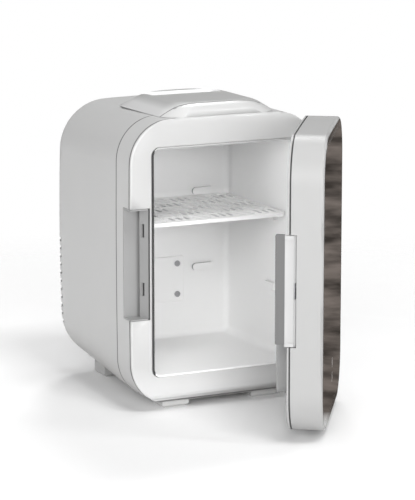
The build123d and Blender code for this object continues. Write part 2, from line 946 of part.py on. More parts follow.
def make_rear_cover_screws():
    """Six screws round the rear cover's edge."""
    screws = []
    head_radius = cover_screw_inset / 2 - fit_gap
    length = rear_wall - fit_gap
    for x, z in cover_screw_places():
        screws.append(
            screw(x, z, cover_screw_radius, head_radius, cover_screw_head, cabinet_depth, length, -1)
        )
    return group(screws)


def inlet_block(grow, y_from, y_to):
    """The mains inlet's outline, grown by a margin."""
    width = inlet_width + 2 * grow
    height = inlet_height + 2 * grow
    return tablet(inlet_x, power_z, width, height, inlet_corner, y_from, y_to)


def switch_block(grow, y_from, y_to):
    """The mode switch's outline, grown by a margin."""
    width = switch_width + 2 * grow
    height = switch_height + 2 * grow
    return tablet(switch_x, power_z, width, height, switch_corner, y_from, y_to)


def make_ac_inlet():
    """The two-pin mains inlet, a recessed cup with a flange on the cover."""
    rear = cabinet_depth + inlet_wall / 2
    inlet = inlet_block(0, cabinet_depth - inlet_depth, rear)
    inlet += inlet_block(inlet_wall, cabinet_depth, rear)
    inlet -= inlet_block(-inlet_wall, rear - inlet_recess, rear + overcut)
    for side in (-1, 1):
        x = inlet_x + side * inlet_pin_spacing / 2
        inlet += peg(x, power_z, inlet_pin_radius, rear - inlet_recess - overcut, rear - inlet_pin_setback)
    return inlet


def make_dc_socket():
    """The round low-voltage socket with its middle contact."""
    rear = cabinet_depth + socket_flange
    floor = rear - socket_recess
    socket = peg(0, power_z, socket_radius, cabinet_depth - socket_depth, rear)
    socket += peg(0, power_z, socket_radius + 2 * socket_flange, cabinet_depth, rear)
    socket -= peg(0, power_z, socket_bore_radius, floor, rear + overcut)
    return socket + peg(0, power_z, inlet_pin_radius, floor - overcut, rear - inlet_pin_setback)


def make_switch_frame():
    """The mode switch's housing, with bearings for the rocker's axle."""
    rear = cabinet_depth + switch_flange
    frame = switch_block(0, cabinet_depth - switch_depth, rear)
    frame += switch_block(switch_wall, cabinet_depth, rear)
    well = switch_block(-switch_wall, cabinet_depth - switch_depth + switch_wall, rear + overcut)
    frame -= well
    axle = Pos(switch_x, cabinet_depth - switch_wall, power_z) * Rot(0, 90, 0)
    length = switch_width + overcut
    return frame - axle * Cylinder(rocker_axle_radius + running_clearance, length)


def make_switch_rocker():
    """The three-way rocker on its axle."""
    width = switch_width - 2 * switch_wall - 2 * rocker_gap
    half = (switch_height - 2 * switch_wall) / 2 - rocker_end_gap
    y = cabinet_depth - switch_wall
    points = [
        (-half, rocker_edge),
        (0, rocker_dip),
        (half, rocker_edge),
        (half - rocker_flank, -rocker_belly),
        (0, -rocker_keel),
        (rocker_flank - half, -rocker_belly),
    ]
    face = make_face(Polyline(points, close=True))
    rocker = extrude(Plane.YZ.offset(-width / 2) * (Rot(0, 0, 90) * face), amount=width)
    rocker = Pos(switch_x, y, power_z) * mirror(rocker, Plane.XZ)
    axle = Cylinder(rocker_axle_radius, switch_width - 2 * rocker_axle_end_gap)
    return rocker + Pos(switch_x, y, power_z) * Rot(0, 90, 0) * axle


def make_power_board():
    """The supply board with its transformer, capacitors and driver heat spreader."""
    rear = cover_inner - board_standoff
    front = rear - board_thickness
    half = board_width / 2
    low = power_z - board_height / 2
    high = power_z + board_height / 2
    board = box(-half, half, front, rear, low, high)
    board += box(
        transformer_x - transformer_width / 2,
        transformer_x + transformer_width / 2,
        front - transformer_depth,
        front,
        low + transformer_rise,
        low + transformer_rise + transformer_height,
    )
    for side in (-1, 1):
        x = capacitor_x + side * capacitor_spacing / 2
        board += peg(x, power_z - capacitor_drop, capacitor_radius, front - capacitor_depth, front)
    board += box(
        spreader_x - spreader_width / 2,
        spreader_x + spreader_width / 2,
        front - spreader_depth,
        front,
        low + spreader_rise,
        high - spreader_drop,
    )
    board += box(
        terminal_x - terminal_width / 2,
        terminal_x + terminal_width / 2,
        front - terminal_depth,
        front,
        high - terminal_drop - terminal_height,
        high - terminal_drop,
    )
    return board


def make_leads(x_from, x_to, radius):
    """A pair of leads clipped flat behind the board down to the cooling stack."""
    pair = []
    board_low = power_z - board_height / 2
    y = cover_inner - board_standoff - board_thickness - radius
    sink_top = stack_z + sink_width / 2
    for step in (0, 3 * radius):
        start = (x_from + step, y, board_low + lead_overlap)
        bend = (x_from + step, y, (board_low + sink_top) / 2 + step)
        turn = (x_to + step, y, (board_low + sink_top) / 2 + step)
        end = (x_to + step, y, sink_top)
        path = FilletPolyline(start, bend, turn, end, radius=3 * radius)
        pair.append(sweep(Plane(start, z_dir=(0, 0, -1)) * Circle(radius), path=path))
    return group(pair)


def make_temperature_sensor():
    """The sealed bead that reads the chamber's temperature, seated on the liner's back."""
    x = cold_plate_width / 2 + sensor_side_gap
    z = stack_z + sink_width / 2 + sensor_rise
    return tablet(x, z, sensor_width, sensor_height, sensor_corner, liner_rear, liner_rear + sensor_depth)


def make_latch_recess():
    """The tub that lines the finger recess in the cabinet's left edge."""
    tub = notch_block(recess_wall, 0) & prism(0, 0, collar_rear)
    return tub - notch_block(0, -overcut)


def make_latch_keeper():
    """The ramp that the latch's hooks ride over, with a window for each hook."""
    near = recess_x - keeper_seat_gap
    low = latch_low + keeper_end_gap
    high = latch_high + latch_end_gap - keeper_end_gap
    points = [
        (near, keeper_front),
        (near - keeper_rise, keeper_reach),
        (near - keeper_rise + keeper_thickness, keeper_reach),
        (near, keeper_thickness + keeper_root),
    ]
    face = make_face(Polyline(points, close=True))
    keeper = extrude(Pos(0, 0, low) * face, amount=high - low)
    for middle in hook_middles:
        half = keeper_window_height / 2
        keeper -= box(
            -side_x, recess_x, keeper_window_near, keeper_window_far, middle - half, middle + half
        )
    return keeper


def make_foot(x, y, body):
    """A moulded foot that follows the cabinet's underside."""
    tall = foot_height + rear_floor_rise + frame_roll_radius / 2
    block = Pos(x, y, tall / 2) * Box(foot_width, foot_length, tall)
    bottom = block.faces().sort_by(Axis.Z)[0]
    block = chamfer(bottom.edges(), foot_chamfer)
    foot = block - body
    return foot.solids().sort_by(Axis.Z)[0]


def make_shelf():
    """The flat shelf with a basket weave of slots and a plain border."""
    half = opening_width / 2 - shelf_side_gap
    rear = chamber_depth - shelf_rear_gap
    middle = (shelf_front + rear) / 2
    face = Pos(0, middle) * RectangleRounded(2 * half, rear - shelf_front, shelf_corner_radius)
    weave_columns = int((2 * half - 2 * shelf_border) / weave_cell)
    weave_rows = int((rear - shelf_front - 2 * shelf_border) / weave_cell)
    pitch = weave_cell / weave_bars
    for column in range(weave_columns):
        for row in range(weave_rows):
            x = (column - (weave_columns - 1) / 2) * weave_cell
            y = middle + (row - (weave_rows - 1) / 2) * weave_cell
            across = (column + row) % 2
            for bar in range(weave_bars):
                shift = (bar - (weave_bars - 1) / 2) * pitch
                slot = SlotOverall(weave_slot_length, weave_slot_width)
                if across:
                    face -= Pos(x + shift, y) * Rot(0, 0, 90) * slot
                else:
                    face -= Pos(x, y + shift) * slot
    return extrude(Plane.XY.offset(shelf_bottom) * face, amount=shelf_thickness)


def hinge_cut():
    """The waste outside the rounding about the hinge axis on the door's inner right edge."""
    waste = box(hinge_x, side_x + 2 * overcut, hinge_y, overcut, 0, handle_top)
    return waste - post(hinge_x, hinge_y, hinge_inset, -overcut, handle_top + overcut)


def knuckle_cuts():
    """The gaps in the door's right edge that the cabinet's knuckles turn in."""
    side = knuckle_radius + knuckle_side_gap
    front = side + knuckle_corner_gap
    cuts = []
    for low in (knuckle_low, knuckle_high):
        cuts.append(
            box(
                hinge_x - side,
                side_x + 2 * overcut,
                hinge_y - front,
                overcut,
                low - knuckle_end_gap,
                low + knuckle_length + knuckle_end_gap,
            )
        )
    return cuts


def latch_cut():
    """The pocket in the door's free edge that the latch lever sits in."""
    inner = -side_x + latch_pocket_inner
    cut = box(-side_x - 2 * overcut, inner, -latch_pocket_front, overcut, latch_low, latch_high)
    back = latch_y - lever_boss_radius - fit_gap
    return cut + box(latch_x - lever_boss_radius - fit_gap, inner, back, overcut, latch_low, latch_high)


def make_door_shell():
    """The door's outer frame, with solid blocks for the hinge pins and the latch pin."""
    outer = prism(0, door_outer, shell_inner)
    outer = fillet(outer.faces().sort_by(Axis.Y)[0].edges(), door_edge_radius)
    shell = outer - prism(door_wall, door_floor, 0)
    shell -= prism(glass_rim, door_outer - overcut, glass_rear)
    whole = prism(0, door_floor - overcut, shell_inner)
    for low in (knuckle_low, knuckle_high):
        block = box(
            hinge_x - hinge_block,
            side_x + 2 * overcut,
            hinge_y - hinge_block,
            shell_inner,
            low - hinge_block,
            low + knuckle_length + hinge_block,
        )
        shell += block & whole
    latch_block = box(
        -side_x - 2 * overcut,
        -side_x + latch_block_width,
        latch_y - lever_boss_radius - fit_gap - door_wall,
        shell_inner,
        latch_low - latch_pin_grip - door_wall,
        latch_high + latch_pin_grip + door_wall,
    )
    shell += latch_block & whole
    shell -= hinge_cut()
    for cut in knuckle_cuts():
        shell -= cut
    shell -= latch_cut()
    for low in (knuckle_low, knuckle_high):
        pin_low = low - knuckle_end_gap - hinge_pin_grip
        pin_high = low + knuckle_length + knuckle_end_gap + hinge_pin_grip
        shell -= post(hinge_x, hinge_y, hinge_pin_radius + pin_fit, pin_low, pin_high)
    pin_low = latch_low - latch_pin_grip
    pin_high = latch_high + latch_pin_grip
    shell -= post(latch_x, latch_y, latch_pin_radius + pin_fit, pin_low, pin_high)
    hole = panel_screw_radius + running_clearance
    for x, z in panel_screw_places():
        shell += peg(x, z, panel_boss_radius, door_floor - panel_boss_root, shell_inner)
        shell -= peg(x, z, hole, door_floor + panel_boss_floor, shell_inner + overcut)
    return shell


def panel_screw_places():
    """Four places near the inner panel's corners."""
    inset = 2 * panel_screw_inset
    return grid(cabinet_width - inset, cabinet_height - inset, 0, cabinet_middle)


def make_mirror_glass():
    """The mirror that fills the door's face."""
    glass = prism(glass_rim + fit_gap, door_outer, glass_rear)
    front = glass.faces().sort_by(Axis.Y)[0]
    return chamfer(front.edges(), glass_edge)


def make_inner_panel():
    """The flat panel behind the door, with two studs that the pocket hangs on."""
    panel = prism(0, panel_front, door_inner)
    panel -= hinge_cut()
    for cut in knuckle_cuts():
        panel -= cut
    panel -= latch_cut()
    head_from = door_inner + pocket_wall + 2 * stud_gap
    for side in (-1, 1):
        x = side * stud_spacing / 2
        panel += peg(x, stud_z, stud_neck_radius, panel_front, head_from)
        panel += peg(x, stud_z, stud_head_radius, head_from, head_from + stud_head)
    for x, z in panel_screw_places():
        hole = panel_screw_radius + running_clearance
        panel -= peg(x, z, hole, panel_front - overcut, door_inner + overcut)
        seat = door_inner - panel_screw_head
        panel -= peg(x, z, panel_screw_head_radius + fit_gap, seat, door_inner + overcut)
    return panel


def make_panel_screws():
    """Four countersunk screws that hold the inner panel to the door's frame."""
    screws = []
    seat = door_inner - panel_screw_head
    for x, z in panel_screw_places():
        screws.append(
            screw(
                x, z, panel_screw_radius, panel_screw_head_radius, panel_screw_head, seat, panel_screw_length, -1
            )
        )
    return group(screws)


def make_door_insulation():
    """Foam that fills the door between its front wall and the inner panel."""
    foam = prism(door_wall + fit_gap, door_floor + touch_thickness + fit_gap, shell_inner)
    reach = hinge_block + fit_gap
    for low in (knuckle_low, knuckle_high):
        foam -= box(
            hinge_x - reach, side_x, hinge_y - reach, overcut, low - reach, low + knuckle_length + reach
        )
    foam -= hinge_cut()
    foam -= box(
        -side_x,
        -side_x + latch_block_width + fit_gap,
        latch_y - lever_boss_radius - 2 * fit_gap - door_wall,
        overcut,
        latch_low - latch_pin_grip - door_wall - fit_gap,
        latch_high + latch_pin_grip + door_wall + fit_gap,
    )
    for x, z in panel_screw_places():
        foam -= peg(x, z, panel_boss_radius + fit_gap, door_outer, overcut)
    return foam


def make_gasket():
    """The soft seal round the door's inner face."""
    seal_rear = door_inner + gasket_height
    ring = throat_block(gasket_inset + gasket_width, door_inner, seal_rear)
    ring -= throat_block(gasket_inset, door_inner - overcut, seal_rear + overcut)
    return ring - latch_cut() - knuckle_cuts()[0] - knuckle_cuts()[1]


def make_led_strip():
    """The light strip that follows the mirror's border, behind the glass."""
    rear = door_floor + led_thickness
    ring = prism(led_inset, door_floor, rear)
    return ring - prism(led_inset + led_width, door_floor - overcut, rear + overcut)


def make_touch_board():
    """The touch switch board behind the mirror's lower middle."""
    rear = door_floor + touch_thickness
    return tablet(0, touch_z, touch_width, touch_height, touch_corner, door_floor, rear)


def make_hinge_pin(low):
    """A steel pin through one knuckle into the door above and below it."""
    pin_low = low - knuckle_end_gap - hinge_pin_grip
    pin_high = low + knuckle_length + knuckle_end_gap + hinge_pin_grip
    return post(hinge_x, hinge_y, hinge_pin_radius, pin_low, pin_high)


def make_latch_lever():
    """The latch's finger bar with its pivot boss, hollowed along its outer face."""
    low = latch_low + latch_end_gap
    high = latch_high - latch_end_gap
    outer = -side_x + lever_inset
    lever = box(outer, outer + lever_thickness, -lever_front, lever_rear, low, high)
    lever += box(outer + lever_thickness - lever_lap, latch_x, -lever_front, -lever_front / 2, low, high)
    lever += post(latch_x, latch_y, lever_boss_radius, low, high)
    scoop_x = outer - lever_scoop_radius + lever_scoop_depth
    scoop_y = (lever_rear - lever_front) / 2
    lever -= post(scoop_x, scoop_y, lever_scoop_radius, low + lever_scoop_end, high - lever_scoop_end)
    lever -= post(latch_x, latch_y, latch_pin_radius + running_clearance, low - overcut, high + overcut)
    window = spring_length / 2 + fit_gap
    lever -= box(
        outer + lever_thickness,
        latch_x + 2 * lever_boss_radius,
        latch_y - 2 * lever_boss_radius,
        latch_y + 2 * lever_boss_radius,
        latch_middle - window,
        latch_middle + window,
    )
    lever -= post(latch_x, latch_y, spring_radius + fit_gap, latch_middle - window, latch_middle + window)
    return lever


def make_latch_tongue():
    """The darker tongue that reaches into the cabinet's recess, with two hooks."""
    low = latch_low + latch_end_gap + tongue_low_gap
    high = latch_high - latch_end_gap + tongue_high_rise
    root = -side_x + tongue_inset + tongue_thickness - hook_root
    outer = -side_x + tongue_inset
    face = Plane.YZ.offset(outer) * (
        Pos((lever_rear + tongue_reach) / 2, (low + high) / 2)
        * RectangleRounded(tongue_reach - lever_rear, high - low, tongue_corner)
    )
    tongue = extrude(face, amount=tongue_thickness)
    for middle in hook_middles:
        half = hook_height / 2
        tip = -side_x + hook_tip_inset
        points = [
            (root, hook_near),
            (tip, hook_near),
            (tip - hook_thickness, hook_near + hook_thickness),
            (root, hook_near + hook_thickness),
        ]
        hook = make_face(Polyline(points, close=True))
        tongue += extrude(Pos(0, 0, middle - half) * hook, amount=hook_height)
    return tongue


def make_latch_pin():
    """The pin that the latch lever turns on."""
    return post(latch_x, latch_y, latch_pin_radius, latch_low - latch_pin_grip, latch_high + latch_pin_grip)


def make_latch_spring():
    """The close-wound return spring on the latch pin, drawn as its envelope."""
    half = spring_length / 2
    inner = spring_radius - spring_wire
    low = latch_middle - half
    high = latch_middle + half
    ring = post(latch_x, latch_y, spring_radius, low, high)
    return ring - post(latch_x, latch_y, inner, low - overcut, high + overcut)


def make_door_pocket():
    """The slim pocket that hangs on the inner panel's studs."""
    near = door_inner + stud_gap / 2
    far = door_inner + pocket_depth
    middle = pocket_low + pocket_height / 2
    pocket = tablet(0, middle, pocket_width, pocket_height, pocket_radius, near, far)
    rim = pocket.faces().sort_by(Axis.Y)[-1]
    pocket = fillet(rim.edges(), pocket_wall * 1.5)
    inside = tablet(
        0,
        middle + pocket_height / 2,
        pocket_width - 2 * pocket_wall,
        2 * pocket_height - 2 * pocket_wall,
        pocket_radius - pocket_wall,
        near + pocket_wall,
        far - pocket_wall,
    )
    pocket -= inside
    for side in (-1, 1):
        x = side * stud_spacing / 2
        neck = stud_neck_radius + stud_gap
        entry = stud_head_radius + stud_gap
        low = stud_z - pocket_lift
        wall_from = near - overcut
        wall_to = near + pocket_wall + pin_fit / 2
        pocket -= peg(x, low, entry, wall_from, wall_to)
        pocket -= peg(x, stud_z, neck, wall_from, wall_to)
        pocket -= box(x - neck, x + neck, wall_from, wall_to, low, stud_z)
    return pocket


def build():
    """Makes every node, swings the door to its rest angle and puts the origin in place."""
    body = envelope()
    loaf = handle_loaf()
    fixed = {
        "rear_shell": make_rear_shell(),
        "front_collar": make_front_collar(),
        "front_frame": make_front_frame(loaf),
        "carry_handle": make_carry_handle(loaf, body),
        "inner_throat": make_inner_throat(),
        "inner_liner": make_inner_liner(),
        "cabinet_insulation": make_insulation(),
        "cold_plate": make_cold_plate(),
        "cold_plate_screws": make_cold_plate_screws(),
        "cold_block": make_cold_block(),
        "peltier_module": make_module(),
        "module_insulation": make_module_insulation(),
        "heat_sink": make_heat_sink(),
        "heat_sink_screws": make_heat_sink_screws(),
        "fan_frame": make_fan_frame(),
        "fan_rotor": make_fan_rotor(),
        "fan_screws": make_fan_screws(),
        "rear_cover": make_rear_cover(),
        "rear_cover_screws": make_rear_cover_screws(),
        "power_board": make_power_board(),
        "ac_inlet": make_ac_inlet(),
        "dc_socket": make_dc_socket(),
        "mode_switch_frame": make_switch_frame(),
        "mode_switch_rocker": make_switch_rocker(),
        "module_leads": make_leads(module_lead_start, module_lead_end, module_lead_radius),
        "fan_leads": make_leads(fan_lead_start, fan_lead_end, fan_lead_radius),
        "temperature_sensor": make_temperature_sensor(),
        "latch_recess": make_latch_recess(),
        "latch_keeper": make_latch_keeper(),
        "foot_front_left": make_foot(-foot_x, foot_front_y, body),
        "foot_front_right": make_foot(foot_x, foot_front_y, body),
        "foot_rear_left": make_foot(-foot_x, foot_rear_y, body),
        "foot_rear_right": make_foot(foot_x, foot_rear_y, body),
        "shelf": make_shelf(),
    }
    swinging = {
        "door_shell": make_door_shell(),
        "mirror_glass": make_mirror_glass(),
        "door_inner_panel": make_inner_panel(),
        "door_panel_screws": make_panel_screws(),
        "door_insulation": make_door_insulation(),
        "door_gasket": make_gasket(),
        "led_strip": make_led_strip(),
        "touch_board": make_touch_board(),
        "hinge_pin_lower": make_hinge_pin(knuckle_low),
        "hinge_pin_upper": make_hinge_pin(knuckle_high),
        "latch_lever": make_latch_lever(),
        "latch_tongue": make_latch_tongue(),
        "latch_pin": make_latch_pin(),
        "latch_spring": make_latch_spring(),
        "door_pocket": make_door_pocket(),
    }
    swing = Pos(hinge_x, hinge_y, 0) * Rot(0, 0, door_rest_angle) * Pos(-hinge_x, -hinge_y, 0)
    placed = dict(fixed)
    for name, shape in swinging.items():
        placed[name] = swing * shape
    return placed


def main():
    """Writes one STEP file for each node."""
    placed = build()
    boxes = [shape.bounding_box() for shape in placed.values()]
    x_middle = (min(b.min.X for b in boxes) + max(b.max.X for b in boxes)) / 2
    y_middle = (min(b.min.Y for b in boxes) + max(b.max.Y for b in boxes)) / 2
    z_low = min(b.min.Z for b in boxes)
    shift = Pos(-x_middle, -y_middle, -z_low)
    print("front face's middle in the part's frame:", -x_middle, -y_middle, -z_low)
    os.makedirs("parts", exist_ok=True)
    for name, shape in placed.items():
        export_step(shift * shape, f"parts/{name}.step")


main()
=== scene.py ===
import json
import logging
import math
from dataclasses import dataclass, field, replace
from enum import Enum
from typing import Any, Callable, Iterable, Optional, Sequence

import bpy
from mathutils import Matrix, Vector


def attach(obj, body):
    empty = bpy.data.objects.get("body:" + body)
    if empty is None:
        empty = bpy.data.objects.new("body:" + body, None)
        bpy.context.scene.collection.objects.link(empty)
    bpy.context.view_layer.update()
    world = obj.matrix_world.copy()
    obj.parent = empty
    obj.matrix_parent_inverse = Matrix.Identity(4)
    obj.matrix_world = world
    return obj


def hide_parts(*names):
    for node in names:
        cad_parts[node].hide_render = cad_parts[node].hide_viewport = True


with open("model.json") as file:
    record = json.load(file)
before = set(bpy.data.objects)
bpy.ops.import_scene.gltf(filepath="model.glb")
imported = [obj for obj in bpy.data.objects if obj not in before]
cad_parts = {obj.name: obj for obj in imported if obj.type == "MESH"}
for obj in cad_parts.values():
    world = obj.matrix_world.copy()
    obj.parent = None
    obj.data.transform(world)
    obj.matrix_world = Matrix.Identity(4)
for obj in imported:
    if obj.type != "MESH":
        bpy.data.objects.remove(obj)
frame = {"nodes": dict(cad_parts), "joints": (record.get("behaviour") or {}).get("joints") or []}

LOG = logging.getLogger("mini_fridge")
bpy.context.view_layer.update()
Colour = tuple[float, float, float]
Place = tuple[float, float, float]
Span = tuple[float, float]
PlaceTest = Callable[[Vector, Vector], bool]
FAR = 9.0  # beyond the fridge: the open side of a zone
NEAR = 0.0001  # the slack for finding an edge by its place


class Gloss(Enum):
    """How strongly a finish carries a clear top layer."""

    NONE = 0.0
    SOFT = 0.25
    FULL = 1.0


class Shade:
    """A node socket that can be used in Python arithmetic, one Math node per operation."""

    def __init__(self, tree: bpy.types.NodeTree, socket: bpy.types.NodeSocket) -> None:
        """Keeps the tree that new nodes go into and the socket to read."""
        self.tree = tree
        self.socket = socket

    def _math(self, operation: str, first: Any, second: Any = None) -> "Shade":
        """Adds one Math node.

        Args:
            operation: The Math node's operation.
            first: The first operand, a Shade or a number.
            second: The second operand, where the operation takes one.

        Returns:
            The node's result.
        """
        node = self.tree.nodes.new("ShaderNodeMath")
        node.operation = operation
        for index, value in enumerate((first, second)):
            if isinstance(value, Shade):
                self.tree.links.new(value.socket, node.inputs[index])
            elif value is not None:
                node.inputs[index].default_value = float(value)
        return Shade(self.tree, node.outputs[0])

    def __add__(self, other: Any) -> "Shade":
        """Sum."""
        return self._math("ADD", self, other)

    def __radd__(self, other: Any) -> "Shade":
        """Sum with a number first."""
        return self._math("ADD", other, self)

    def __sub__(self, other: Any) -> "Shade":
        """Difference."""
        return self._math("SUBTRACT", self, other)

    def __rsub__(self, other: Any) -> "Shade":
        """Difference with a number first."""
        return self._math("SUBTRACT", other, self)

    def __mul__(self, other: Any) -> "Shade":
        """Product."""
        return self._math("MULTIPLY", self, other)

    def __rmul__(self, other: Any) -> "Shade":
        """Product with a number first."""
        return self._math("MULTIPLY", other, self)

    def __truediv__(self, other: Any) -> "Shade":
        """Quotient."""
        return self._math("DIVIDE", self, other)

    def absolute(self) -> "Shade":
        """Size without sign.

        Returns:
            The size.
        """
        return self._math("ABSOLUTE", self)

    def root(self) -> "Shade":
        """Square root.

        Returns:
            The root.
        """
        return self._math("SQRT", self)

    def at_least(self, other: Any) -> "Shade":
        """The larger of the two.

        Args:
            other: A Shade or a number.

        Returns:
            The larger.
        """
        return self._math("MAXIMUM", self, other)

    def at_most(self, other: Any) -> "Shade":
        """The smaller of the two.

        Args:
            other: A Shade or a number.

        Returns:
            The smaller.
        """
        return self._math("MINIMUM", self, other)

    def above(self, edge: float, soft: float) -> "Shade":
        """A mask that rises from 0 to 1 over a soft band.

        Args:
            edge: The value at the middle of the band.
            soft: The band's width.

        Returns:
            The mask, kept between 0 and 1.
        """
        raised = (self - (edge - soft / 2)) / soft
        return raised.at_least(0.0).at_most(1.0)


class Palette:
    """Builds one material's nodes."""

    def __init__(self, name: str) -> None:
        """Starts an empty material with a principled shader.

        Args:
            name: The material's name.
        """
        self.material = bpy.data.materials.new(name)
        self.material.use_nodes = True
        self.tree = self.material.node_tree
        self.tree.nodes.clear()
        self.output = self.tree.nodes.new("ShaderNodeOutputMaterial")
        self.shader = self.tree.nodes.new("ShaderNodeBsdfPrincipled")
        self.tree.links.new(self.shader.outputs[0], self.output.inputs[0])

    def node(
        self,
        kind: str,
        settings: Optional[dict[str, Any]] = None,
        values: Optional[dict[Any, Any]] = None,
    ) -> bpy.types.Node:
        """Adds a node with its settings and its sockets' values or links.

        Args:
            kind: The node's type.
            settings: The node's own settings, set first.
            values: Socket name or index to a constant or a Shade.

        Returns:
            The new node.
        """
        made = self.tree.nodes.new(kind)
        for key, value in (settings or {}).items():
            setattr(made, key, value)
        for key, value in (values or {}).items():
            self.feed(made.inputs[key], value)
        return made

    def feed(self, socket: bpy.types.NodeSocket, value: Any) -> None:
        """Sets a socket to a constant or links it to a Shade.

        Args:
            socket: The socket.
            value: The constant or Shade.
        """
        if isinstance(value, Shade):
            self.tree.links.new(value.socket, socket)
        else:
            socket.default_value = value

    def shade(self, node: bpy.types.Node, output: Any = 0) -> Shade:
        """The named output of a node as a Shade.

        Args:
            node: The node.
            output: The output's name or index.

        Returns:
            The output.
        """
        return Shade(self.tree, node.outputs[output])

    def place(self) -> Shade:
        """The point on the piece, in the shared frame.

        Returns:
            The point.
        """
        return self.shade(self.node("ShaderNodeTexCoord"), "Object")

    def local(self, origin: Place, turn: float) -> Shade:
        """The point on the piece, measured from an origin and turned back about the upright axis.

        Args:
            origin: The point to measure from.
            turn: The angle to undo, in radians.

        Returns:
            The point in the turned frame.
        """
        made = self.node(
            "ShaderNodeMapping",
            {"vector_type": "TEXTURE"},
            {"Vector": self.place(), "Location": origin, "Rotation": (0.0, 0.0, turn)},
        )
        return self.shade(made)

    def axes(self, point: Shade) -> list[Shade]:
        """A point's X, Y and Z.

        Args:
            point: The point.

        Returns:
            The three values.
        """
        parts = self.node("ShaderNodeSeparateXYZ", values={0: point})
        return [self.shade(parts, axis) for axis in "XYZ"]

    def noise(self, vector: Shade, scale: float, detail: float = 3.0) -> Shade:
        """Cloudy noise from 0 to 1.

        Args:
            vector: The point.
            scale: Clouds per metre.
            detail: Finer layers on top.

        Returns:
            The noise.
        """
        made = self.node(
            "ShaderNodeTexNoise",
            values={"Vector": vector, "Scale": scale, "Detail": detail},
        )
        return self.shade(made, "Fac")

    def mix(self, factor: Any, first: Any, second: Any) -> Shade:
        """A colour between two colours.

        Args:
            factor: 0 for the first colour, 1 for the second.
            first: A colour or a Shade.
            second: A colour or a Shade.

        Returns:
            The mixed colour.
        """
        made = self.node("ShaderNodeMix", {"data_type": "RGBA"})
        for index, value in ((0, factor), (6, first), (7, second)):
            if isinstance(value, tuple) and len(value) == 3:
                value = (*value, 1.0)
            self.feed(made.inputs[index], value)
        return self.shade(made, 2)

    def bump(self, height: Shade, distance: float, strength: float) -> None:
        """Raises the surface by a height map.

        Args:
            height: The map, 0 to 1.
            distance: The relief in metres.
            strength: How much of the relief shows.
        """
        made = self.node(
            "ShaderNodeBump",
            values={"Height": height, "Distance": distance, "Strength": strength},
        )
        self.feed(self.shader.inputs["Normal"], self.shade(made, "Normal"))

    def thin(self, factor: Shade) -> None:
        """Lets the view through where the factor is 1.

        Args:
            factor: 0 for the finished surface, 1 for none of it.
        """
        blend = self.node("ShaderNodeMixShader", values={0: factor})
        clear = self.node("ShaderNodeBsdfTransparent")
        self.tree.links.new(self.shader.outputs[0], blend.inputs[1])
        self.tree.links.new(clear.outputs[0], blend.inputs[2])
        self.tree.links.new(blend.outputs[0], self.output.inputs[0])

    def finish(self, **values: Any) -> bpy.types.Material:
        """Feeds the principled shader.

        Args:
            values: Socket names, with underscores for spaces, to constants or Shades.

        Returns:
            The finished material.
        """
        for key, value in values.items():
            socket = self.shader.inputs[key.replace("_", " ")]
            if isinstance(value, tuple) and len(value) == 3 and socket.type == "RGBA":
                value = (*value, 1.0)
            self.feed(socket, value)
        return self.material


@dataclass(frozen=True)
class Zone:
    """A box of the piece that takes another tone: a dark joint line, or painted shade or painted
    light such as in the walls of a slot.
    """

    low: Place
    high: Place
    tone: float
    soft: float = 0.0002

    def mask(self, axes: Sequence[Shade]) -> Shade:
        """A mask that is 1 inside the box.

        Args:
            axes: The point's X, Y and Z.

        Returns:
            The mask, with soft edges.
        """
        inside: Optional[Shade] = None
        for axis, low, high in zip(axes, self.low, self.high):
            for edge, falling in ((low, False), (high, True)):
                if abs(edge) >= FAR:
                    continue
                step = axis.above(edge, self.soft)
                step = 1.0 - step if falling else step
                inside = step if inside is None else inside * step
        return inside


@dataclass(frozen=True)
class MouldedPlastic:
    """Moulded plastic with a fine spark-eroded grain, faint flow mottling, and zones that carry
    dark joint lines, painted shade and painted light.
    """

    name: str
    colour: Colour
    roughness: float = 0.42
    grain: float = 2600.0
    relief: float = 0.00002
    mottle: float = 0.025
    gloss: Gloss = Gloss.NONE
    zones: tuple[Zone, ...] = ()
    hinge: Place = (0.0, 0.0, 0.0)
    angle: float = 0.0
    cloud: float = 22.0
    coat_roughness: float = 0.12

    def material(self) -> bpy.types.Material:
        """Builds the finish, with the zones of a hinged piece measured on the shut piece.

        Returns:
            The material.
        """
        p = Palette(self.name)
        place = p.place()
        cloud = p.noise(place, self.cloud)
        speck = p.noise(place, self.grain, 2.0)
        darker = tuple(channel * (1 - 2 * self.mottle) for channel in self.colour)
        p.bump(speck, self.relief, 0.5)
        tint_and_painted_light = p.mix(cloud * 0.5 + speck * 0.3, self.colour, darker)
        if self.zones:
            axes = p.axes(p.local(self.hinge, self.angle))
            for zone in self.zones:
                tint_and_painted_light = p.mix(zone.mask(axes), tint_and_painted_light, (zone.tone,) * 3)
        return p.finish(
            Base_Color=tint_and_painted_light,
            Roughness=(cloud - 0.5) * 0.08 + (speck - 0.5) * 0.06 + self.roughness,
            Coat_Weight=self.gloss.value,
            Coat_Roughness=self.coat_roughness,
        )


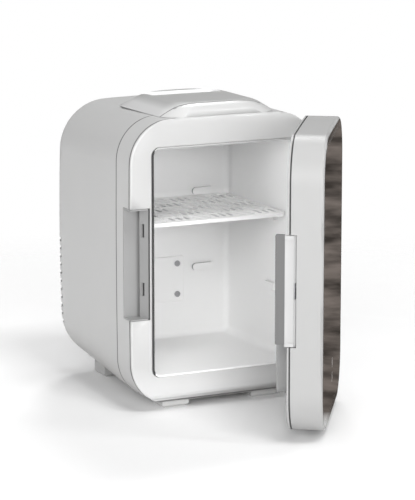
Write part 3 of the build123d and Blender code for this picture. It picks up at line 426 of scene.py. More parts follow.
@dataclass(frozen=True)
class SmokedMirror:
    """Mirror glass with a dark printed border and a frosted light band inside it."""

    name: str
    silver: Colour
    hinge: Place
    angle: float
    middle: Span
    half: Span
    corner: float
    border: float = 0.0034
    band: float = 0.0030
    line: float = 0.0012
    soft: float = 0.0003
    printed: Colour = (0.012, 0.011, 0.011)
    frosted: Colour = (0.16, 0.155, 0.15)
    lined: Colour = (0.02, 0.018, 0.018)

    def material(self) -> bpy.types.Material:
        """Builds the finish.

        Returns:
            The material.
        """
        p = Palette(self.name)
        local = p.local(self.hinge, self.angle)
        across, _, upright = p.axes(local)
        x = (across - self.middle[0]).absolute() - (self.half[0] - self.corner)
        z = (upright - self.middle[1]).absolute() - (self.half[1] - self.corner)
        outside_x = x.at_least(0.0)
        outside_z = z.at_least(0.0)
        reach = (outside_x * outside_x + outside_z * outside_z).root()
        depth = self.corner - reach - x.at_least(z).at_most(0.0)
        past_border = depth.above(self.border, self.soft)
        past_band = depth.above(self.border + self.band, self.soft)
        past_line = depth.above(self.border + self.band + self.line, self.soft)
        smear = p.noise(local, 14.0, 4.0)
        frost = p.mix(past_border, self.printed, self.frosted)
        inner = p.mix(past_line, self.lined, self.silver)
        return p.finish(
            Base_Color=p.mix(past_band, frost, inner),
            Metallic=past_line,
            Roughness=0.34 - past_band * 0.30 + (smear - 0.5) * 0.03,
            Coat_Weight=Gloss.FULL.value,
            Coat_Roughness=0.02,
        )


@dataclass(frozen=True)
class Metal:
    """Bare metal with fine machining lines."""

    name: str
    colour: Colour
    roughness: float = 0.32
    lines: float = 900.0

    def material(self) -> bpy.types.Material:
        """Builds the finish.

        Returns:
            The material.
        """
        p = Palette(self.name)
        stretched = p.node(
            "ShaderNodeMapping",
            values={"Vector": p.place(), "Scale": (1.0, 1.0, 0.05)},
        )
        scratch = p.noise(p.shade(stretched), self.lines, 2.0)
        p.bump(scratch, 0.00001, 0.4)
        return p.finish(
            Base_Color=p.mix(scratch, self.colour, tuple(c * 0.8 for c in self.colour)),
            Metallic=1.0,
            Roughness=scratch * 0.16 + (self.roughness - 0.08),
        )


@dataclass(frozen=True)
class Foam:
    """Closed-cell foam with visible cells."""

    name: str
    colour: Colour
    cells: float = 420.0

    def material(self) -> bpy.types.Material:
        """Builds the finish.

        Returns:
            The material.
        """
        p = Palette(self.name)
        cell = p.node(
            "ShaderNodeTexVoronoi", values={"Vector": p.place(), "Scale": self.cells}
        )
        wall = p.shade(cell, "Distance")
        p.bump(wall, 0.0004, 0.6)
        return p.finish(
            Base_Color=p.mix(wall, self.colour, tuple(c * 0.86 for c in self.colour)),
            Roughness=0.9,
        )


@dataclass(frozen=True)
class CircuitBoard:
    """Green solder mask with faint copper tracks under it."""

    name: str
    mask: Colour = (0.015, 0.16, 0.05)
    track: Colour = (0.03, 0.26, 0.09)

    def material(self) -> bpy.types.Material:
        """Builds the finish.

        Returns:
            The material.
        """
        p = Palette(self.name)
        brick = p.node(
            "ShaderNodeTexBrick",
            values={"Vector": p.place(), "Scale": 160.0, "Mortar Size": 0.03},
        )
        lines = p.shade(brick, "Fac")
        p.bump(lines, 0.00003, 0.6)
        return p.finish(
            Base_Color=p.mix(lines, self.mask, self.track),
            Roughness=0.35 + lines * 0.1,
            Coat_Weight=0.4,
        )


@dataclass(frozen=True)
class SoftRubber:
    """Matt rubber with a dusty bloom."""

    name: str
    colour: Colour
    roughness: float = 0.62

    def material(self) -> bpy.types.Material:
        """Builds the finish.

        Returns:
            The material.
        """
        p = Palette(self.name)
        place = p.place()
        bloom = p.noise(place, 60.0, 5.0)
        pores = p.noise(place, 1800.0, 2.0)
        p.bump(pores, 0.00003, 0.5)
        paler = tuple(min(1.0, c * 1.08 + 0.005) for c in self.colour)
        return p.finish(
            Base_Color=p.mix(bloom, self.colour, paler),
            Roughness=bloom * 0.12 + (self.roughness - 0.06),
        )


def deselect() -> None:
    """Leaves nothing selected, so that an operator acts on new pieces alone."""
    if bpy.context.object and bpy.context.object.mode != "OBJECT":
        bpy.ops.object.mode_set(mode="OBJECT")
    bpy.ops.object.select_all(action="DESELECT")


def activate(piece: bpy.types.Object) -> None:
    """Makes a piece the active object and the only one selected.

    Args:
        piece: The piece.
    """
    deselect()
    piece.select_set(True)
    bpy.context.view_layer.objects.active = piece


def edit_whole(piece: bpy.types.Object) -> None:
    """Enters edit mode with all of a piece selected.

    Args:
        piece: The piece.
    """
    activate(piece)
    bpy.ops.object.mode_set(mode="EDIT")
    bpy.ops.mesh.select_all(action="SELECT")


def raise_by(height: float) -> None:
    """Extrudes what is selected in edit mode straight up.

    Args:
        height: How far, in metres.
    """
    bpy.ops.mesh.extrude_region_move(TRANSFORM_OT_translate={"value": (0.0, 0.0, height)})


def face_outwards() -> None:
    """Turns all faces of the piece in edit mode outwards and leaves edit mode."""
    bpy.ops.mesh.select_all(action="SELECT")
    bpy.ops.mesh.normals_make_consistent(inside=False)
    bpy.ops.object.mode_set(mode="OBJECT")


def pick(piece: bpy.types.Object, test: PlaceTest, domain: str) -> None:
    """Selects faces or edges of a piece by their place and enters edit mode.

    Args:
        piece: The piece, which becomes the active object.
        test: Takes a face's middle and normal, or an edge's two ends.
        domain: "FACE" or "EDGE".
    """
    activate(piece)
    bpy.ops.object.mode_set(mode="EDIT")
    bpy.ops.mesh.select_mode(type=domain)
    bpy.ops.mesh.select_all(action="DESELECT")
    bpy.ops.object.mode_set(mode="OBJECT")
    mesh = piece.data
    if domain == "FACE":
        for face in mesh.polygons:
            face.select = test(face.center, face.normal)
    else:
        for edge in mesh.edges:
            edge.select = test(*(mesh.vertices[end].co for end in edge.vertices))
    bpy.ops.object.mode_set(mode="EDIT")


def settle(
    piece: bpy.types.Object, name: str, turn: Matrix, smooth: float = 35.0
) -> bpy.types.Object:
    """Applies a piece's place to its mesh and smooths its shading.

    Args:
        piece: The piece.
        name: Its final name.
        turn: A further place to apply to its mesh.
        smooth: The angle in degrees under which edges shade smoothly.

    Returns:
        The piece, at the origin.
    """
    activate(piece)
    bpy.ops.object.transform_apply(location=True, rotation=True, scale=True)
    piece.data.transform(turn)
    piece.data.update()
    bpy.ops.object.shade_smooth_by_angle(angle=math.radians(smooth))
    piece.name = name
    piece.data.name = name
    return piece


def apply_modifiers(piece: bpy.types.Object) -> None:
    """Applies every modifier of a piece in order.

    Args:
        piece: The piece.
    """
    activate(piece)
    for modifier in list(piece.modifiers):
        bpy.ops.object.modifier_apply(modifier=modifier.name)


def dress(nodes: Iterable[str], material: bpy.types.Material) -> None:
    """Gives CAD nodes a material.

    Args:
        nodes: The nodes' names.
        material: Their finish.
    """
    for name in nodes:
        mesh = frame["nodes"][name].data
        mesh.materials.clear()
        mesh.materials.append(material)
        LOG.info("dressed %s with %s", name, material.name)


def joint(name: str) -> dict[str, Any]:
    """The named joint of the frame.

    Args:
        name: The joint's name.

    Returns:
        What the frame says of it.
    """
    for found in frame["joints"]:
        if found["name"] == name:
            return found
    raise KeyError(name)


def block(name: str, low: Sequence[float], high: Sequence[float]) -> bpy.types.Object:
    """A box between two corners, to be shaped in edit mode.

    Args:
        name: The piece's name.
        low: Its low corner.
        high: Its high corner.

    Returns:
        The box, active and alone in the selection.
    """
    deselect()
    middle = [(a + b) / 2 for a, b in zip(low, high)]
    bpy.ops.mesh.primitive_cube_add(size=1.0, location=middle)
    piece = bpy.context.object
    piece.name = name
    piece.scale = [b - a for a, b in zip(low, high)]
    bpy.ops.object.transform_apply(location=True, rotation=True, scale=True)
    return piece


def shift_edges(piece: bpy.types.Object, test: PlaceTest, move: Sequence[float]) -> None:
    """Moves the edges that pass a test.

    Args:
        piece: The piece.
        test: Takes an edge's two ends.
        move: The way to go.
    """
    pick(piece, test, "EDGE")
    bpy.ops.transform.translate(value=move)
    bpy.ops.object.mode_set(mode="OBJECT")


def round_edges(piece: bpy.types.Object, test: PlaceTest, radius: float, steps: int) -> None:
    """Rounds the edges that pass a test.

    Args:
        piece: The piece.
        test: Takes an edge's two ends.
        radius: How far the round reaches.
        steps: Its facets.
    """
    pick(piece, test, "EDGE")
    bpy.ops.mesh.bevel(affect="EDGES", offset=radius, segments=steps, profile=0.5)
    bpy.ops.object.mode_set(mode="OBJECT")


def cut_off(piece: bpy.types.Object, place: Place, normal: Place, beyond: bool = True) -> None:
    """Cuts a piece at a plane, drops one side and closes the cut.

    Args:
        piece: The piece.
        place: A point on the plane.
        normal: The plane's normal.
        beyond: True drops the side that the normal points to, False the other.
    """
    edit_whole(piece)
    bpy.ops.mesh.bisect(
        plane_co=place,
        plane_no=normal,
        clear_outer=beyond,
        clear_inner=not beyond,
        use_fill=True,
    )
    bpy.ops.object.mode_set(mode="OBJECT")


def combine(piece: bpy.types.Object, tool: bpy.types.Object, operation: str) -> None:
    """Joins a tool piece to a piece or cuts it out, and removes the tool.

    Args:
        piece: The piece that stays.
        tool: The piece that is used up.
        operation: "UNION" or "DIFFERENCE".
    """
    joined = piece.modifiers.new("joined", "BOOLEAN")
    joined.operation = operation
    joined.object = tool
    apply_modifiers(piece)
    bpy.data.objects.remove(tool)


def keep(
    piece: bpy.types.Object, body: str, slot: str, material: bpy.types.Material, *nodes: str
) -> None:
    """Hangs a modelled piece on a body.

    Args:
        piece: The piece.
        body: The body that it rides on.
        slot: A material slot's name; not used.
        material: Its finish.
        nodes: The CAD nodes that it stands in for.
    """
    piece.data.materials.clear()
    piece.data.materials.append(material)
    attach(piece, body)
    if nodes:
        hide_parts(*nodes)
    LOG.info("modelled %s", piece.name)


def cabinet_origin(
    half_width: float = 0.085, inset: float = 0.0056, gap: float = 0.0015
) -> Vector:
    """The middle of the cabinet's front face on the floor, found from the door's hinge.

    Args:
        half_width: Half the cabinet's width.
        inset: How far the hinge sits in from the side.
        gap: The gap between the cabinet and the shut door.

    Returns:
        The point, in metres.
    """
    hinge = Vector(joint("door_swing")["pos_m"])
    return Vector((hinge.x - half_width + inset, hinge.y + gap + inset, 0.0))


@dataclass
class Finishes:
    """The finishes of the whole fridge."""

    shell: MouldedPlastic = MouldedPlastic(
        "satin white shell",
        (0.52, 0.52, 0.518),
        0.46,
        zones=(
            # the joint behind the collar, and the one in front of it
            Zone((-FAR, 0.0208, -FAR), (FAR, 0.0224, FAR), 0.16),
            Zone((-FAR, -0.0046, -FAR), (FAR, -0.0030, FAR), 0.20),
        ),
    )
    # the handle's grey base tone is painted shade on its top face
    handle: MouldedPlastic = MouldedPlastic(
        "satin white handle",
        (0.39, 0.39, 0.388),
        0.46,
        zones=(
            # painted light on the slopes, a painted highlight in the grip well, and the dark joint
            # to the crown
            Zone((-FAR, -FAR, -FAR), (FAR, FAR, 0.2485), 0.56, 0.004),
            Zone((-0.0407, 0.0611, -FAR), (0.0255, 0.0864, 0.2513), 0.88),
            Zone((-FAR, -FAR, -FAR), (FAR, 0.0092, FAR), 0.20),
        ),
    )
    door: MouldedPlastic = MouldedPlastic(
        "satin white door",
        (0.41, 0.41, 0.408),
        0.46,
        # the joint between tray and inner panel
        zones=(Zone((-FAR, 0.0030, -FAR), (FAR, 0.0044, FAR), 0.10),),
    )
    face: MouldedPlastic = MouldedPlastic(
        "smooth white face",
        (0.57, 0.57, 0.568),
        0.42,
        relief=0.00001,
        gloss=Gloss.SOFT,
        zones=(
            # painted light on the lower rail, and the dark joint to the collar
            Zone((-FAR, -FAR, -FAR), (FAR, FAR, 0.0300), 0.65, 0.02),
            Zone((-FAR, -0.0050, -FAR), (FAR, -0.0036, 0.2415), 0.20),
        ),
    )
    liner: MouldedPlastic = MouldedPlastic(
        "smooth white liner",
        (0.96, 0.96, 0.958),
        0.45,
        relief=0.00001,
        mottle=0.01,
        zones=(
            # painted shade on the back wall over the shelf and on the walls of the lugs
            Zone((-FAR, 0.1080, 0.1580), (FAR, FAR, FAR), 0.88, 0.004),
            Zone((-0.0590, 0.1144, 0.0860), (-0.0360, 0.1166, 0.0960), 0.40),
            Zone((0.0208, 0.1144, 0.0860), (0.0440, 0.1166, 0.0960), 0.40),
            Zone((-0.0590, 0.1144, 0.1530), (0.0440, 0.1166, 0.1630), 0.40),
        ),
    )
    throat: MouldedPlastic = MouldedPlastic(
        "smooth white throat",
        (0.96, 0.96, 0.958),
        0.45,
        relief=0.00001,
        mottle=0.01,
        zones=(
            # painted shade on the front rim, and deep painted shade in the gap at its left
            Zone((-FAR, -FAR, 0.0340), (FAR, -0.0064, FAR), 0.55),
            Zone((-FAR, -FAR, -FAR), (-0.0708, -0.0058, FAR), 0.06),
        ),
    )
    shelf: MouldedPlastic = MouldedPlastic(
        "white shelf",
        (0.97, 0.97, 0.97),
        0.32,
        # painted shade on the walls of the slots
        zones=(Zone((-0.0680, 0.0070, -FAR), (0.0530, 0.1110, 0.15460), 0.72),),
    )
    recess: MouldedPlastic = MouldedPlastic(
        "pale grey recess",
        (0.33, 0.33, 0.33),
        0.45,
        # the shaded inner wall
        zones=(Zone((-0.0773, -FAR, -FAR), (FAR, FAR, FAR), 0.07),),
    )
    keeper: MouldedPlastic = MouldedPlastic("mid grey keeper", (0.27, 0.27, 0.27), 0.45)
    tongue: MouldedPlastic = MouldedPlastic("mid grey tongue", (0.14, 0.14, 0.14), 0.5)
    grip: MouldedPlastic = MouldedPlastic("light grey grip", (0.50, 0.50, 0.50), 0.4)
    pocket: MouldedPlastic = MouldedPlastic("grey door pocket", (0.29, 0.29, 0.29), 0.40)
    cover: MouldedPlastic = MouldedPlastic(
        "grained rear cover", (0.74, 0.74, 0.735), 0.55, relief=0.00004
    )
    black: MouldedPlastic = MouldedPlastic("matt black fittings", (0.012, 0.012, 0.013), 0.5)
    foot: SoftRubber = SoftRubber("pale soft feet", (0.52, 0.52, 0.516))
    # the rear feet are the front feet's rubber, darkened as painted shade
    rear_foot_painted_shade: SoftRubber = SoftRubber("soft feet with painted shade", (0.42, 0.42, 0.418))
    seal: SoftRubber = SoftRubber("white soft seal", (0.74, 0.74, 0.73), 0.5)
    mark: MouldedPlastic = MouldedPlastic(
        "frosted touch mark", (0.30, 0.28, 0.265), 0.5, mottle=0.05
    )
    lead: SoftRubber = SoftRubber("red lead jacket", (0.35, 0.02, 0.02), 0.45)
    steel: Metal = Metal("zinc plated steel", (0.56, 0.56, 0.58))
    aluminium: Metal = Metal("milled aluminium", (0.78, 0.78, 0.80), 0.38)
    foam: Foam = Foam("cream foam", (0.83, 0.80, 0.68))
    ceramic: MouldedPlastic = MouldedPlastic("white ceramic", (0.80, 0.80, 0.78), 0.6)
    board: CircuitBoard = CircuitBoard("green board")


@dataclass
class Cabinet:
    """The outer shell, front frame, handle, feet and latch recess."""

    finishes: Finishes
    base_half: float = 0.052
    top_half: float = 0.038
    handle_front: float = 0.0158
    handle_rear: float = 0.116
    handle_slope: float = 0.014
    handle_top: float = 0.252
    handle_foot: float = 0.24085
    rear_round: float = 0.024
    shoulder_round: float = 0.0080
    grip_half: float = 0.033
    grip_front: float = 0.0685
    grip_rear: float = 0.0935
    grip_floor: float = 0.238
    grip_round: float = 0.004
    cup_wall: float = 0.0024
    cup_overlap: float = 0.002
    overcut: float = 0.01
    crown_foot: float = 0.24202
    crown_front: float = 0.0021
    crown_lean: float = 0.0100
    crown_rear: float = 0.0155
    crown_round: float = 0.016
    corner_rise: float = 0.005
    corner_steps: int = 10
    shoulder_steps: int = 8
    grip_steps: int = 6
    merge: float = 0.000002
    smooth: float = 40.0

    def build(self) -> None:
        """Dresses the cabinet's nodes and models the rounded handle and front frame."""
        finishes = self.finishes
        handle = finishes.handle.material()
        face = finishes.face.material()
        dress(("rear_shell", "front_collar"), finishes.shell.material())
        dress(("carry_handle",), handle)
        dress(("front_frame",), face)
        keep(self.make_handle(), "cabinet", "white_plastic", handle, "carry_handle")
        keep(self.make_frame(), "cabinet", "white_plastic", face, "front_frame")
        dress(("latch_recess",), finishes.recess.material())
        dress(("latch_keeper",), finishes.keeper.material())
        dress(("foot_front_left", "foot_front_right"), finishes.foot.material())
        dress(("foot_rear_left", "foot_rear_right"), finishes.rear_foot_painted_shade.material())

    def make_loaf(self, cut: float, keep_front: bool) -> bpy.types.Object:
        """One end of the soft loaf that crown and handle share.

        Args:
            cut: Where the loaf is parted, front to back.
            keep_front: True for the crown's end, False for the handle's.

        Returns:
            The end, in cabinet coordinates.
        """
        front, rear = self.crown_front, self.handle_rear
        low, top = self.crown_foot, self.handle_top
        loaf = block("loaf", (-self.base_half, front, low), (self.base_half, rear, top))
        step = self.base_half - self.top_half

        def upper(a: Vector, b: Vector) -> bool:
            """Whether an edge lies in the loaf's top.

            Args:
                a: One end.
                b: The other end.

            Returns:
                True if it does.
            """
            return min(a.z, b.z) > top - NEAR

        for side in (-1.0, 1.0):
            shift_edges(
                loaf,
                lambda a, b: upper(a, b) and min(a.x * side, b.x * side) > NEAR,
                (-side * step, 0.0, 0.0),
            )
        shift_edges(
            loaf,
            lambda a, b: upper(a, b) and min(a.y, b.y) > rear - NEAR,
            (0.0, -self.handle_slope, 0.0),
        )
        shift_edges(
            loaf,
            lambda a, b: upper(a, b) and max(a.y, b.y) < front + NEAR,
            (0.0, self.crown_lean, 0.0),
        )
        shift_edges(
            loaf,
            lambda a, b: max(a.z, b.z) < top - NEAR and min(a.y, b.y) > rear - NEAR,
            (0.0, 0.0, self.handle_foot - low),
        )
        middle = (front + rear) / 2
        rise = self.corner_rise
        for behind, radius in ((False, self.crown_round), (True, self.rear_round)):
            round_edges(
                loaf,
                lambda a, b: (a.y > middle) == behind and a.x * b.x > 0 and abs(a.z - b.z) > rise,
                radius,
                self.corner_steps,
            )
        round_edges(loaf, upper, self.shoulder_round, self.shoulder_steps)
        cut_off(loaf, (0.0, cut, 0.0), (0.0, 1.0, 0.0), keep_front)
        return loaf

    def make_handle(self) -> bpy.types.Object:
        """The carry handle: a loaf that slopes in to its top, with soft shoulders and a finger cup.

        Returns:
            The handle, in its place.
        """
        loaf = self.make_loaf(self.handle_front, False)
        wall = self.cup_wall
        cup = block(
            "cup",
            (-self.grip_half - wall, self.grip_front - wall, self.grip_floor - wall),
            (self.grip_half + wall, self.grip_rear + wall, self.crown_foot + self.cup_overlap),
        )
        combine(loaf, cup, "UNION")
        finger = block(
            "finger space",
            (-self.grip_half, self.grip_front, self.grip_floor),
            (self.grip_half, self.grip_rear, self.handle_top + self.overcut),
        )
        round_edges(finger, lambda a, b: abs(a.z - b.z) > NEAR, self.grip_round, self.grip_steps)
        combine(loaf, finger, "DIFFERENCE")
        origin = Matrix.Translation(cabinet_origin())
        return settle(loaf, "rounded_carry_handle", origin, self.smooth)

    def make_frame(self) -> bpy.types.Object:
        """The front frame with its crown rounded in plan and at its top edge.

        Returns:
            The frame, in its place.
        """
        crown = self.make_loaf(self.crown_rear, True)
        source = frame["nodes"]["front_frame"]
        body = bpy.data.objects.new("frame body", source.data.copy())
        bpy.context.scene.collection.objects.link(body)
        body.data.transform(source.matrix_world)
        crown.data.transform(Matrix.Translation(cabinet_origin()))
        edit_whole(body)
        bpy.ops.mesh.remove_doubles(threshold=self.merge)
        cut_off(body, (0.0, 0.0, self.crown_foot), (0.0, 0.0, 1.0))
        crown.select_set(True)
        bpy.context.view_layer.objects.active = body
        bpy.ops.object.join()
        return settle(body, "rounded_front_frame", Matrix.Identity(4), self.smooth)


@dataclass
class Chamber:
    """The white inside: throat, tub, shelf and cold plate."""

    finishes: Finishes

    def build(self) -> None:
        """Dresses the chamber's nodes."""
        dress(("inner_liner", "cold_plate"), self.finishes.liner.material())
        dress(("inner_throat",), self.finishes.throat.material())
        dress(("shelf",), self.finishes.shelf.material())
        dress(("cabinet_insulation", "module_insulation"), self.finishes.foam.material())


@dataclass
class CoolingStack:
    """The thermoelectric stack, fan and rear panel with its sockets."""

    finishes: Finishes

    def build(self) -> None:
        """Dresses the cooling nodes."""
        dress(("cold_block", "heat_sink"), self.finishes.aluminium.material())
        dress(("peltier_module",), self.finishes.ceramic.material())
        dress(
            ("cold_plate_screws", "heat_sink_screws", "fan_screws", "rear_cover_screws"),
            self.finishes.steel.material(),
        )
        dress(("rear_cover",), self.finishes.cover.material())
        dress(
            (
                "fan_frame",
                "fan_rotor",
                "ac_inlet",
                "dc_socket",
                "mode_switch_frame",
                "mode_switch_rocker",
                "temperature_sensor",
            ),
            self.finishes.black.material(),
        )
        dress(("power_board",), self.finishes.board.material())
        dress(("module_leads", "fan_leads"), self.finishes.lead.material())


@dataclass
class Door:
    """The mirror door with its seal, touch marks, pocket and latch."""

    finishes: Finishes
    width: float = 0.170
    low: float = 0.0056
    high: float = 0.2420
    glass_inset: float = 0.0021
    corner: float = 0.0339
    gap: float = 0.0015
    thickness: float = 0.028
    hinge_inset: float = 0.0056
    touch_place: float = 0.002
    touch_ring: float = 0.0042
    touch_line: float = 0.0008
    touch_heights: tuple[float, ...] = (0.048, 0.036)
    mark_thickness: float = 0.00006
    seal_half: Span = (0.0737, 0.1035)
    seal_middle: float = 0.1242
    seal_width: float = 0.007
    seal_base: float = 0.0006
    seal_lip: float = 0.0012
    seal_rise: float = 0.0005
    seal_groove: float = 0.0004
    seal_corner: float = 0.0155
    seal_steps: int = 12
    coil_radius: float = 0.0021
    coil_wire: float = 0.0008
    coil_pitch: float = 0.0011
    coil_turns: int = 10
    silver: Colour = (0.20, 0.175, 0.16)
    coil_steps: int = 24
    hinge: Vector = field(init=False)
    angle: float = field(init=False)
    turn: Matrix = field(init=False)

    def __post_init__(self) -> None:
        """Reads the hinge's place and the angle that the door rests at."""
        swing = joint("door_swing")
        self.hinge = Vector(swing["pos_m"])
        self.angle = -math.radians(swing["range_deg"][0])
        inset = self.hinge_inset
        self.turn = (
            Matrix.Translation(self.hinge)
            @ Matrix.Rotation(self.angle, 4, "Z")
            @ Matrix.Translation((-self.width / 2 + inset, self.gap + inset, 0.0))
        )

    def build(self) -> None:
        """Dresses the door and adds its seal, latch spring and touch marks."""
        finishes = self.finishes
        steel = finishes.steel.material()
        seal = finishes.seal.material()
        hinge = (self.hinge.x, self.hinge.y, 0.0)
        shut = replace(finishes.door, hinge=hinge, angle=self.angle)
        dress(("door_shell", "door_inner_panel"), shut.material())
        dress(("mirror_glass",), self.mirror().material())
        dress(("door_panel_screws", "hinge_pin_lower", "hinge_pin_upper"), steel)
        dress(("latch_pin", "latch_spring"), steel)
        dress(("door_insulation",), finishes.foam.material())
        dress(("door_gasket",), seal)
        dress(("led_strip", "touch_board"), finishes.board.material())
        dress(("door_pocket",), finishes.pocket.material())
        dress(("latch_lever",), finishes.grip.material())
        dress(("latch_tongue",), finishes.tongue.material())
        keep(self.make_seal(), "door", "seal", seal, "door_gasket")
        keep(self.make_coil(), "door", "steel", steel, "latch_spring")
        mark = finishes.mark.material()
        for index, height in enumerate(self.touch_heights):
            keep(self.make_mark(index, height), "door", "white_plastic", mark)

    def make_seal(self) -> bpy.types.Object:
        """The soft seal: a flat strip round the door with a raised, grooved lip.

        Returns:
            The seal, in its place on the ajar door.
        """
        deselect()
        bpy.ops.mesh.primitive_plane_add(size=2.0, location=(0.0, 0.0, 0.0))
        seal = bpy.context.object
        seal.scale = (self.seal_half[0], self.seal_half[1], 1.0)
        bpy.ops.object.transform_apply(location=True, rotation=True, scale=True)
        edit_whole(seal)
        bpy.ops.mesh.bevel(affect="VERTICES", offset=self.seal_corner, segments=self.seal_steps)
        bpy.ops.mesh.select_all(action="SELECT")
        bpy.ops.mesh.inset(thickness=self.seal_width)
        bpy.ops.mesh.delete(type="FACE")
        bpy.ops.mesh.select_all(action="SELECT")
        raise_by(self.seal_base)
        bpy.ops.mesh.inset(thickness=self.seal_lip)
        bpy.ops.mesh.inset(thickness=self.seal_lip / 2, depth=self.seal_rise)
        bpy.ops.mesh.inset(thickness=self.seal_lip / 2, depth=-self.seal_groove)
        face_outwards()
        place = Matrix.Translation((0.0, -self.gap, self.seal_middle))
        upright = Matrix.Rotation(math.radians(-90.0), 4, "X")
        return settle(seal, "door_seal", self.turn @ place @ upright)

    def make_coil(self) -> bpy.types.Object:
        """The latch's return spring, wound as a wire round the latch pin.

        Returns:
            The spring, in its place on the ajar door.
        """
        deselect()
        bpy.ops.mesh.primitive_circle_add(
            vertices=10,
            radius=self.coil_wire / 2,
            location=(self.coil_radius, 0.0, 0.0),
            rotation=(math.pi / 2, 0.0, 0.0),
        )
        coil = bpy.context.object
        bpy.ops.object.transform_apply(location=True, rotation=True, scale=True)
        winding = coil.modifiers.new("winding", "SCREW")
        winding.angle = 2 * math.pi
        winding.screw_offset = self.coil_pitch
        winding.iterations = self.coil_turns
        winding.steps = self.coil_steps
        winding.render_steps = self.coil_steps
        apply_modifiers(coil)
        edit_whole(coil)
        bpy.ops.mesh.fill_holes(sides=0)
        face_outwards()
        pivot = Vector(joint("latch_pull")["pos_m"])
        pivot.z -= self.coil_pitch * self.coil_turns / 2
        return settle(coil, "latch_return_spring", Matrix.Translation(pivot), 60.0)

    def make_mark(self, index: int, height: float) -> bpy.types.Object:
        """One printed touch mark on the mirror: a ring, or a ring with a dot.

        Args:
            index: 0 for the upper mark, 1 for the lower.
            height: Its height over the floor, in metres.

        Returns:
            The mark, in its place on the ajar door.
        """
        deselect()
        bpy.ops.mesh.primitive_circle_add(vertices=40, radius=self.touch_ring, fill_type="NGON")
        mark = bpy.context.object
        edit_whole(mark)
        bpy.ops.mesh.inset(thickness=self.touch_line)
        bpy.ops.mesh.inset(thickness=self.touch_line * (1.5 + index))
        bpy.ops.object.mode_set(mode="OBJECT")
        hole = self.touch_ring - self.touch_line
        dot = self.touch_ring - self.touch_line * (2.5 + index)
        pick(mark, lambda middle, normal: dot * 0.98 < middle.length < hole, "FACE")
        bpy.ops.mesh.delete(type="FACE")
        bpy.ops.mesh.select_all(action="SELECT")
        raise_by(self.mark_thickness)
        face_outwards()
        face = (self.touch_place, -self.gap - self.thickness, height)
        outward = Matrix.Translation(face) @ Matrix.Rotation(math.radians(90.0), 4, "X")
        return settle(mark, f"touch_mark_{index + 1}", self.turn @ outward)

    def mirror(self) -> SmokedMirror:
        """The glass's finish, with its border laid out from the door's own sizes.

        Returns:
            The finish.
        """
        half_width = self.width / 2 - self.glass_inset
        half_height = (self.high - self.low) / 2 - self.glass_inset
        return SmokedMirror(
            "smoked mirror",
            self.silver,
            (self.hinge.x, self.hinge.y, 0.0),
            self.angle,
            (-self.width / 2 + self.hinge_inset, (self.low + self.high) / 2),
            (half_width, half_height),
            self.corner,
        )


@dataclass(frozen=True)
class Softbox:
    """A square soft light that faces the fridge."""

    name: str
    azimuth: float
    height: float
    distance: float
    size: float
    power: float

    def place(self, aim: Vector) -> None:
        """Stands the light round the aim point.

        Args:
            aim: The point that it faces.
        """
        turn = math.radians(self.azimuth)
        rise = math.radians(self.height)
        out = math.cos(rise)
        away = Vector((math.sin(turn) * out, -math.cos(turn) * out, math.sin(rise)))
        light = bpy.data.lights.new(self.name, "AREA")
        light.shape = "SQUARE"
        light.size = self.size
        light.energy = self.power
        holder = bpy.data.objects.new(self.name, light)
        bpy.context.scene.collection.objects.link(holder)
        holder.location = aim + away * self.distance
        holder.rotation_euler = (-away).to_track_quat("-Z", "Y").to_euler()


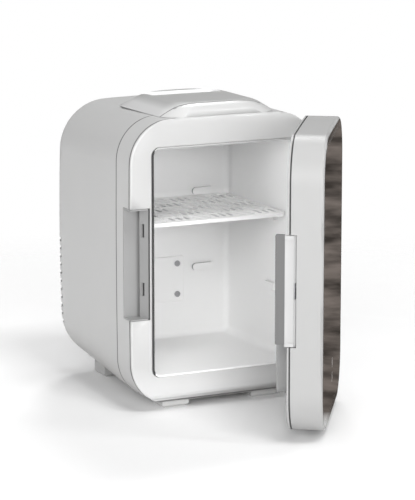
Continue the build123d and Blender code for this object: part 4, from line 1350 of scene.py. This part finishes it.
@dataclass
class Studio:
    """The pale floor, white surround, soft lights, dark flag and the camera."""

    eye: Place = (-0.92194, -1.84725, 0.53533)
    yaw: float = 26.02
    pitch: float = 11.15
    lens: float = 183.5
    sensor: float = 36.0
    far_clip: float = 100.0
    aim: Place = (0.0, 0.03, 0.12)
    floor_size: float = 30.0
    floor_fade: Span = (0.56, 0.42)
    floor_colour: Colour = (0.92, 0.92, 0.92)
    flag_place: Place = (0.04, -0.12, 0.002)
    flag_size: Span = (0.8, 0.6)
    flag_rise: float = 0.5
    flag_turn: float = -41.0
    flag_fade_across: Span = (0.31, 0.18)
    flag_fade_up: Span = (0.38, 0.24)
    flag_fade_near: Span = (0.025, 0.04)
    streak_shift: Place = (0.0, 0.0, 0.9)
    streak_scale: Place = (7.0, 7.0, 26.0)
    streak_edge: Span = (0.52, 0.3)
    flag_dark: Colour = (0.050, 0.043, 0.038)
    flag_light: Colour = (0.21, 0.180, 0.162)
    softboxes: tuple[Softbox, ...] = (
        Softbox("camera_low_softbox", -10.0, 6.0, 3.0, 1.2, 46.0),
        Softbox("front_softbox", -35.0, 22.0, 3.0, 1.2, 33.0),
        Softbox("key_high_softbox", 4.0, 60.0, 3.0, 0.8, 29.0),
        Softbox("right_key_softbox", 42.0, 48.0, 2.2, 0.25, 5.5),
        Softbox("left_softbox", -75.0, 12.0, 3.0, 1.5, 16.5),
        Softbox("left_rear_softbox", -120.0, 20.0, 3.0, 1.5, 18.0),
        Softbox("rear_softbox", 150.0, 50.0, 2.5, 0.5, 17.0),
        Softbox("right_softbox", 95.0, 35.0, 2.5, 0.7, 10.0),
        Softbox("top_softbox", 0.0, 85.0, 2.5, 1.2, 15.5),
    )

    def build(self) -> None:
        """Sets up the stage."""
        self.add_floor()
        self.add_flag()
        self.add_lights()
        self.add_camera()
        scene = bpy.context.scene
        scene.view_settings.view_transform = "Standard"
        scene.view_settings.look = "None"

    def add_floor(self) -> None:
        """Lays a wide pale floor that fades into the white surround."""
        deselect()
        bpy.ops.mesh.primitive_plane_add(size=self.floor_size, location=(0.0, 0.0, 0.0))
        floor = bpy.context.object
        floor.name = "studio_floor"
        p = Palette("studio floor")
        p.finish(Base_Color=self.floor_colour, Roughness=0.9, Specular_IOR_Level=0.0)
        across, along, _ = p.axes(p.place())
        reach = (across * across + along * along).root()
        seen = p.shade(p.node("ShaderNodeLightPath"), "Is Camera Ray")
        p.thin(reach.above(*self.floor_fade) * seen)
        floor.data.materials.append(p.material)

    def add_flag(self) -> None:
        """Lays a dark streaked sheet by the door, turned up at its end, for reflections only."""
        deselect()
        bpy.ops.mesh.primitive_plane_add(size=1.0, location=(0.0, 0.5, 0.0))
        flag = bpy.context.object
        flag.name = "studio_flag"
        bpy.ops.object.transform_apply(location=True, rotation=True, scale=True)
        flag.data.transform(Matrix.Diagonal((self.flag_size[0], self.flag_size[1], 1.0, 1.0)))
        far = self.flag_size[1] * 0.99
        pick(flag, lambda first, second: first.y > far and second.y > far, "EDGE")
        raise_by(self.flag_rise)
        bpy.ops.object.mode_set(mode="OBJECT")
        turn = math.radians(self.flag_turn)
        turned = Matrix.Rotation(turn, 4, "Z")
        flag.data.transform(Matrix.Translation(self.flag_place) @ turned)
        p = Palette("studio flag")
        streaks = p.node(
            "ShaderNodeMapping",
            values={
                "Vector": p.place(),
                "Location": self.streak_shift,
                "Scale": self.streak_scale,
            },
        )
        grain = p.noise(p.shade(streaks), 3.0, 4.0)
        tone = p.mix(grain.above(*self.streak_edge), self.flag_dark, self.flag_light)
        p.finish(
            Base_Color=(0.0, 0.0, 0.0),
            Specular_IOR_Level=0.0,
            Emission_Color=tone,
            Emission_Strength=1.0,
        )
        across, along, up = p.axes(p.local(self.flag_place, turn))
        across = across.absolute()
        ends = across.above(*self.flag_fade_across).at_least(up.above(*self.flag_fade_up))
        p.thin(ends.at_least(1.0 - along.above(*self.flag_fade_near)))
        flag.data.materials.append(p.material)
        flag.visible_camera = False
        flag.visible_diffuse = False
        flag.visible_shadow = False
        flag.visible_transmission = False

    def add_lights(self) -> None:
        """Adds the softboxes and the white surround that only the camera sees."""
        for softbox in self.softboxes:
            softbox.place(Vector(self.aim))
        world = bpy.data.worlds.new("studio world")
        bpy.context.scene.world = world
        world.use_nodes = True
        background = world.node_tree.nodes["Background"]
        background.inputs["Color"].default_value = (1.0, 1.0, 1.0, 1.0)
        seen = world.node_tree.nodes.new("ShaderNodeLightPath")
        world.node_tree.links.new(seen.outputs["Is Camera Ray"], background.inputs["Strength"])

    def add_camera(self) -> None:
        """Stands the camera where the photograph was taken from."""
        camera = bpy.data.cameras.new("photo_camera")
        camera.lens = self.lens
        camera.sensor_width = self.sensor
        camera.clip_end = self.far_clip
        holder = bpy.data.objects.new("photo_camera", camera)
        bpy.context.scene.collection.objects.link(holder)
        holder.location = self.eye
        tilt, swing = math.radians(90.0 - self.pitch), -math.radians(self.yaw)
        holder.rotation_euler = (tilt, 0.0, swing)
        bpy.context.scene.camera = holder


def main() -> None:
    """Builds every sub-assembly in order and reports it."""
    logging.basicConfig(level=logging.INFO)
    finishes = Finishes()
    kinds = (Cabinet, Chamber, CoolingStack, Door)
    for assembly in (*(kind(finishes) for kind in kinds), Studio()):
        assembly.build()
        LOG.info("built %s", type(assembly).__name__)


if __name__ == "__main__":
    main()
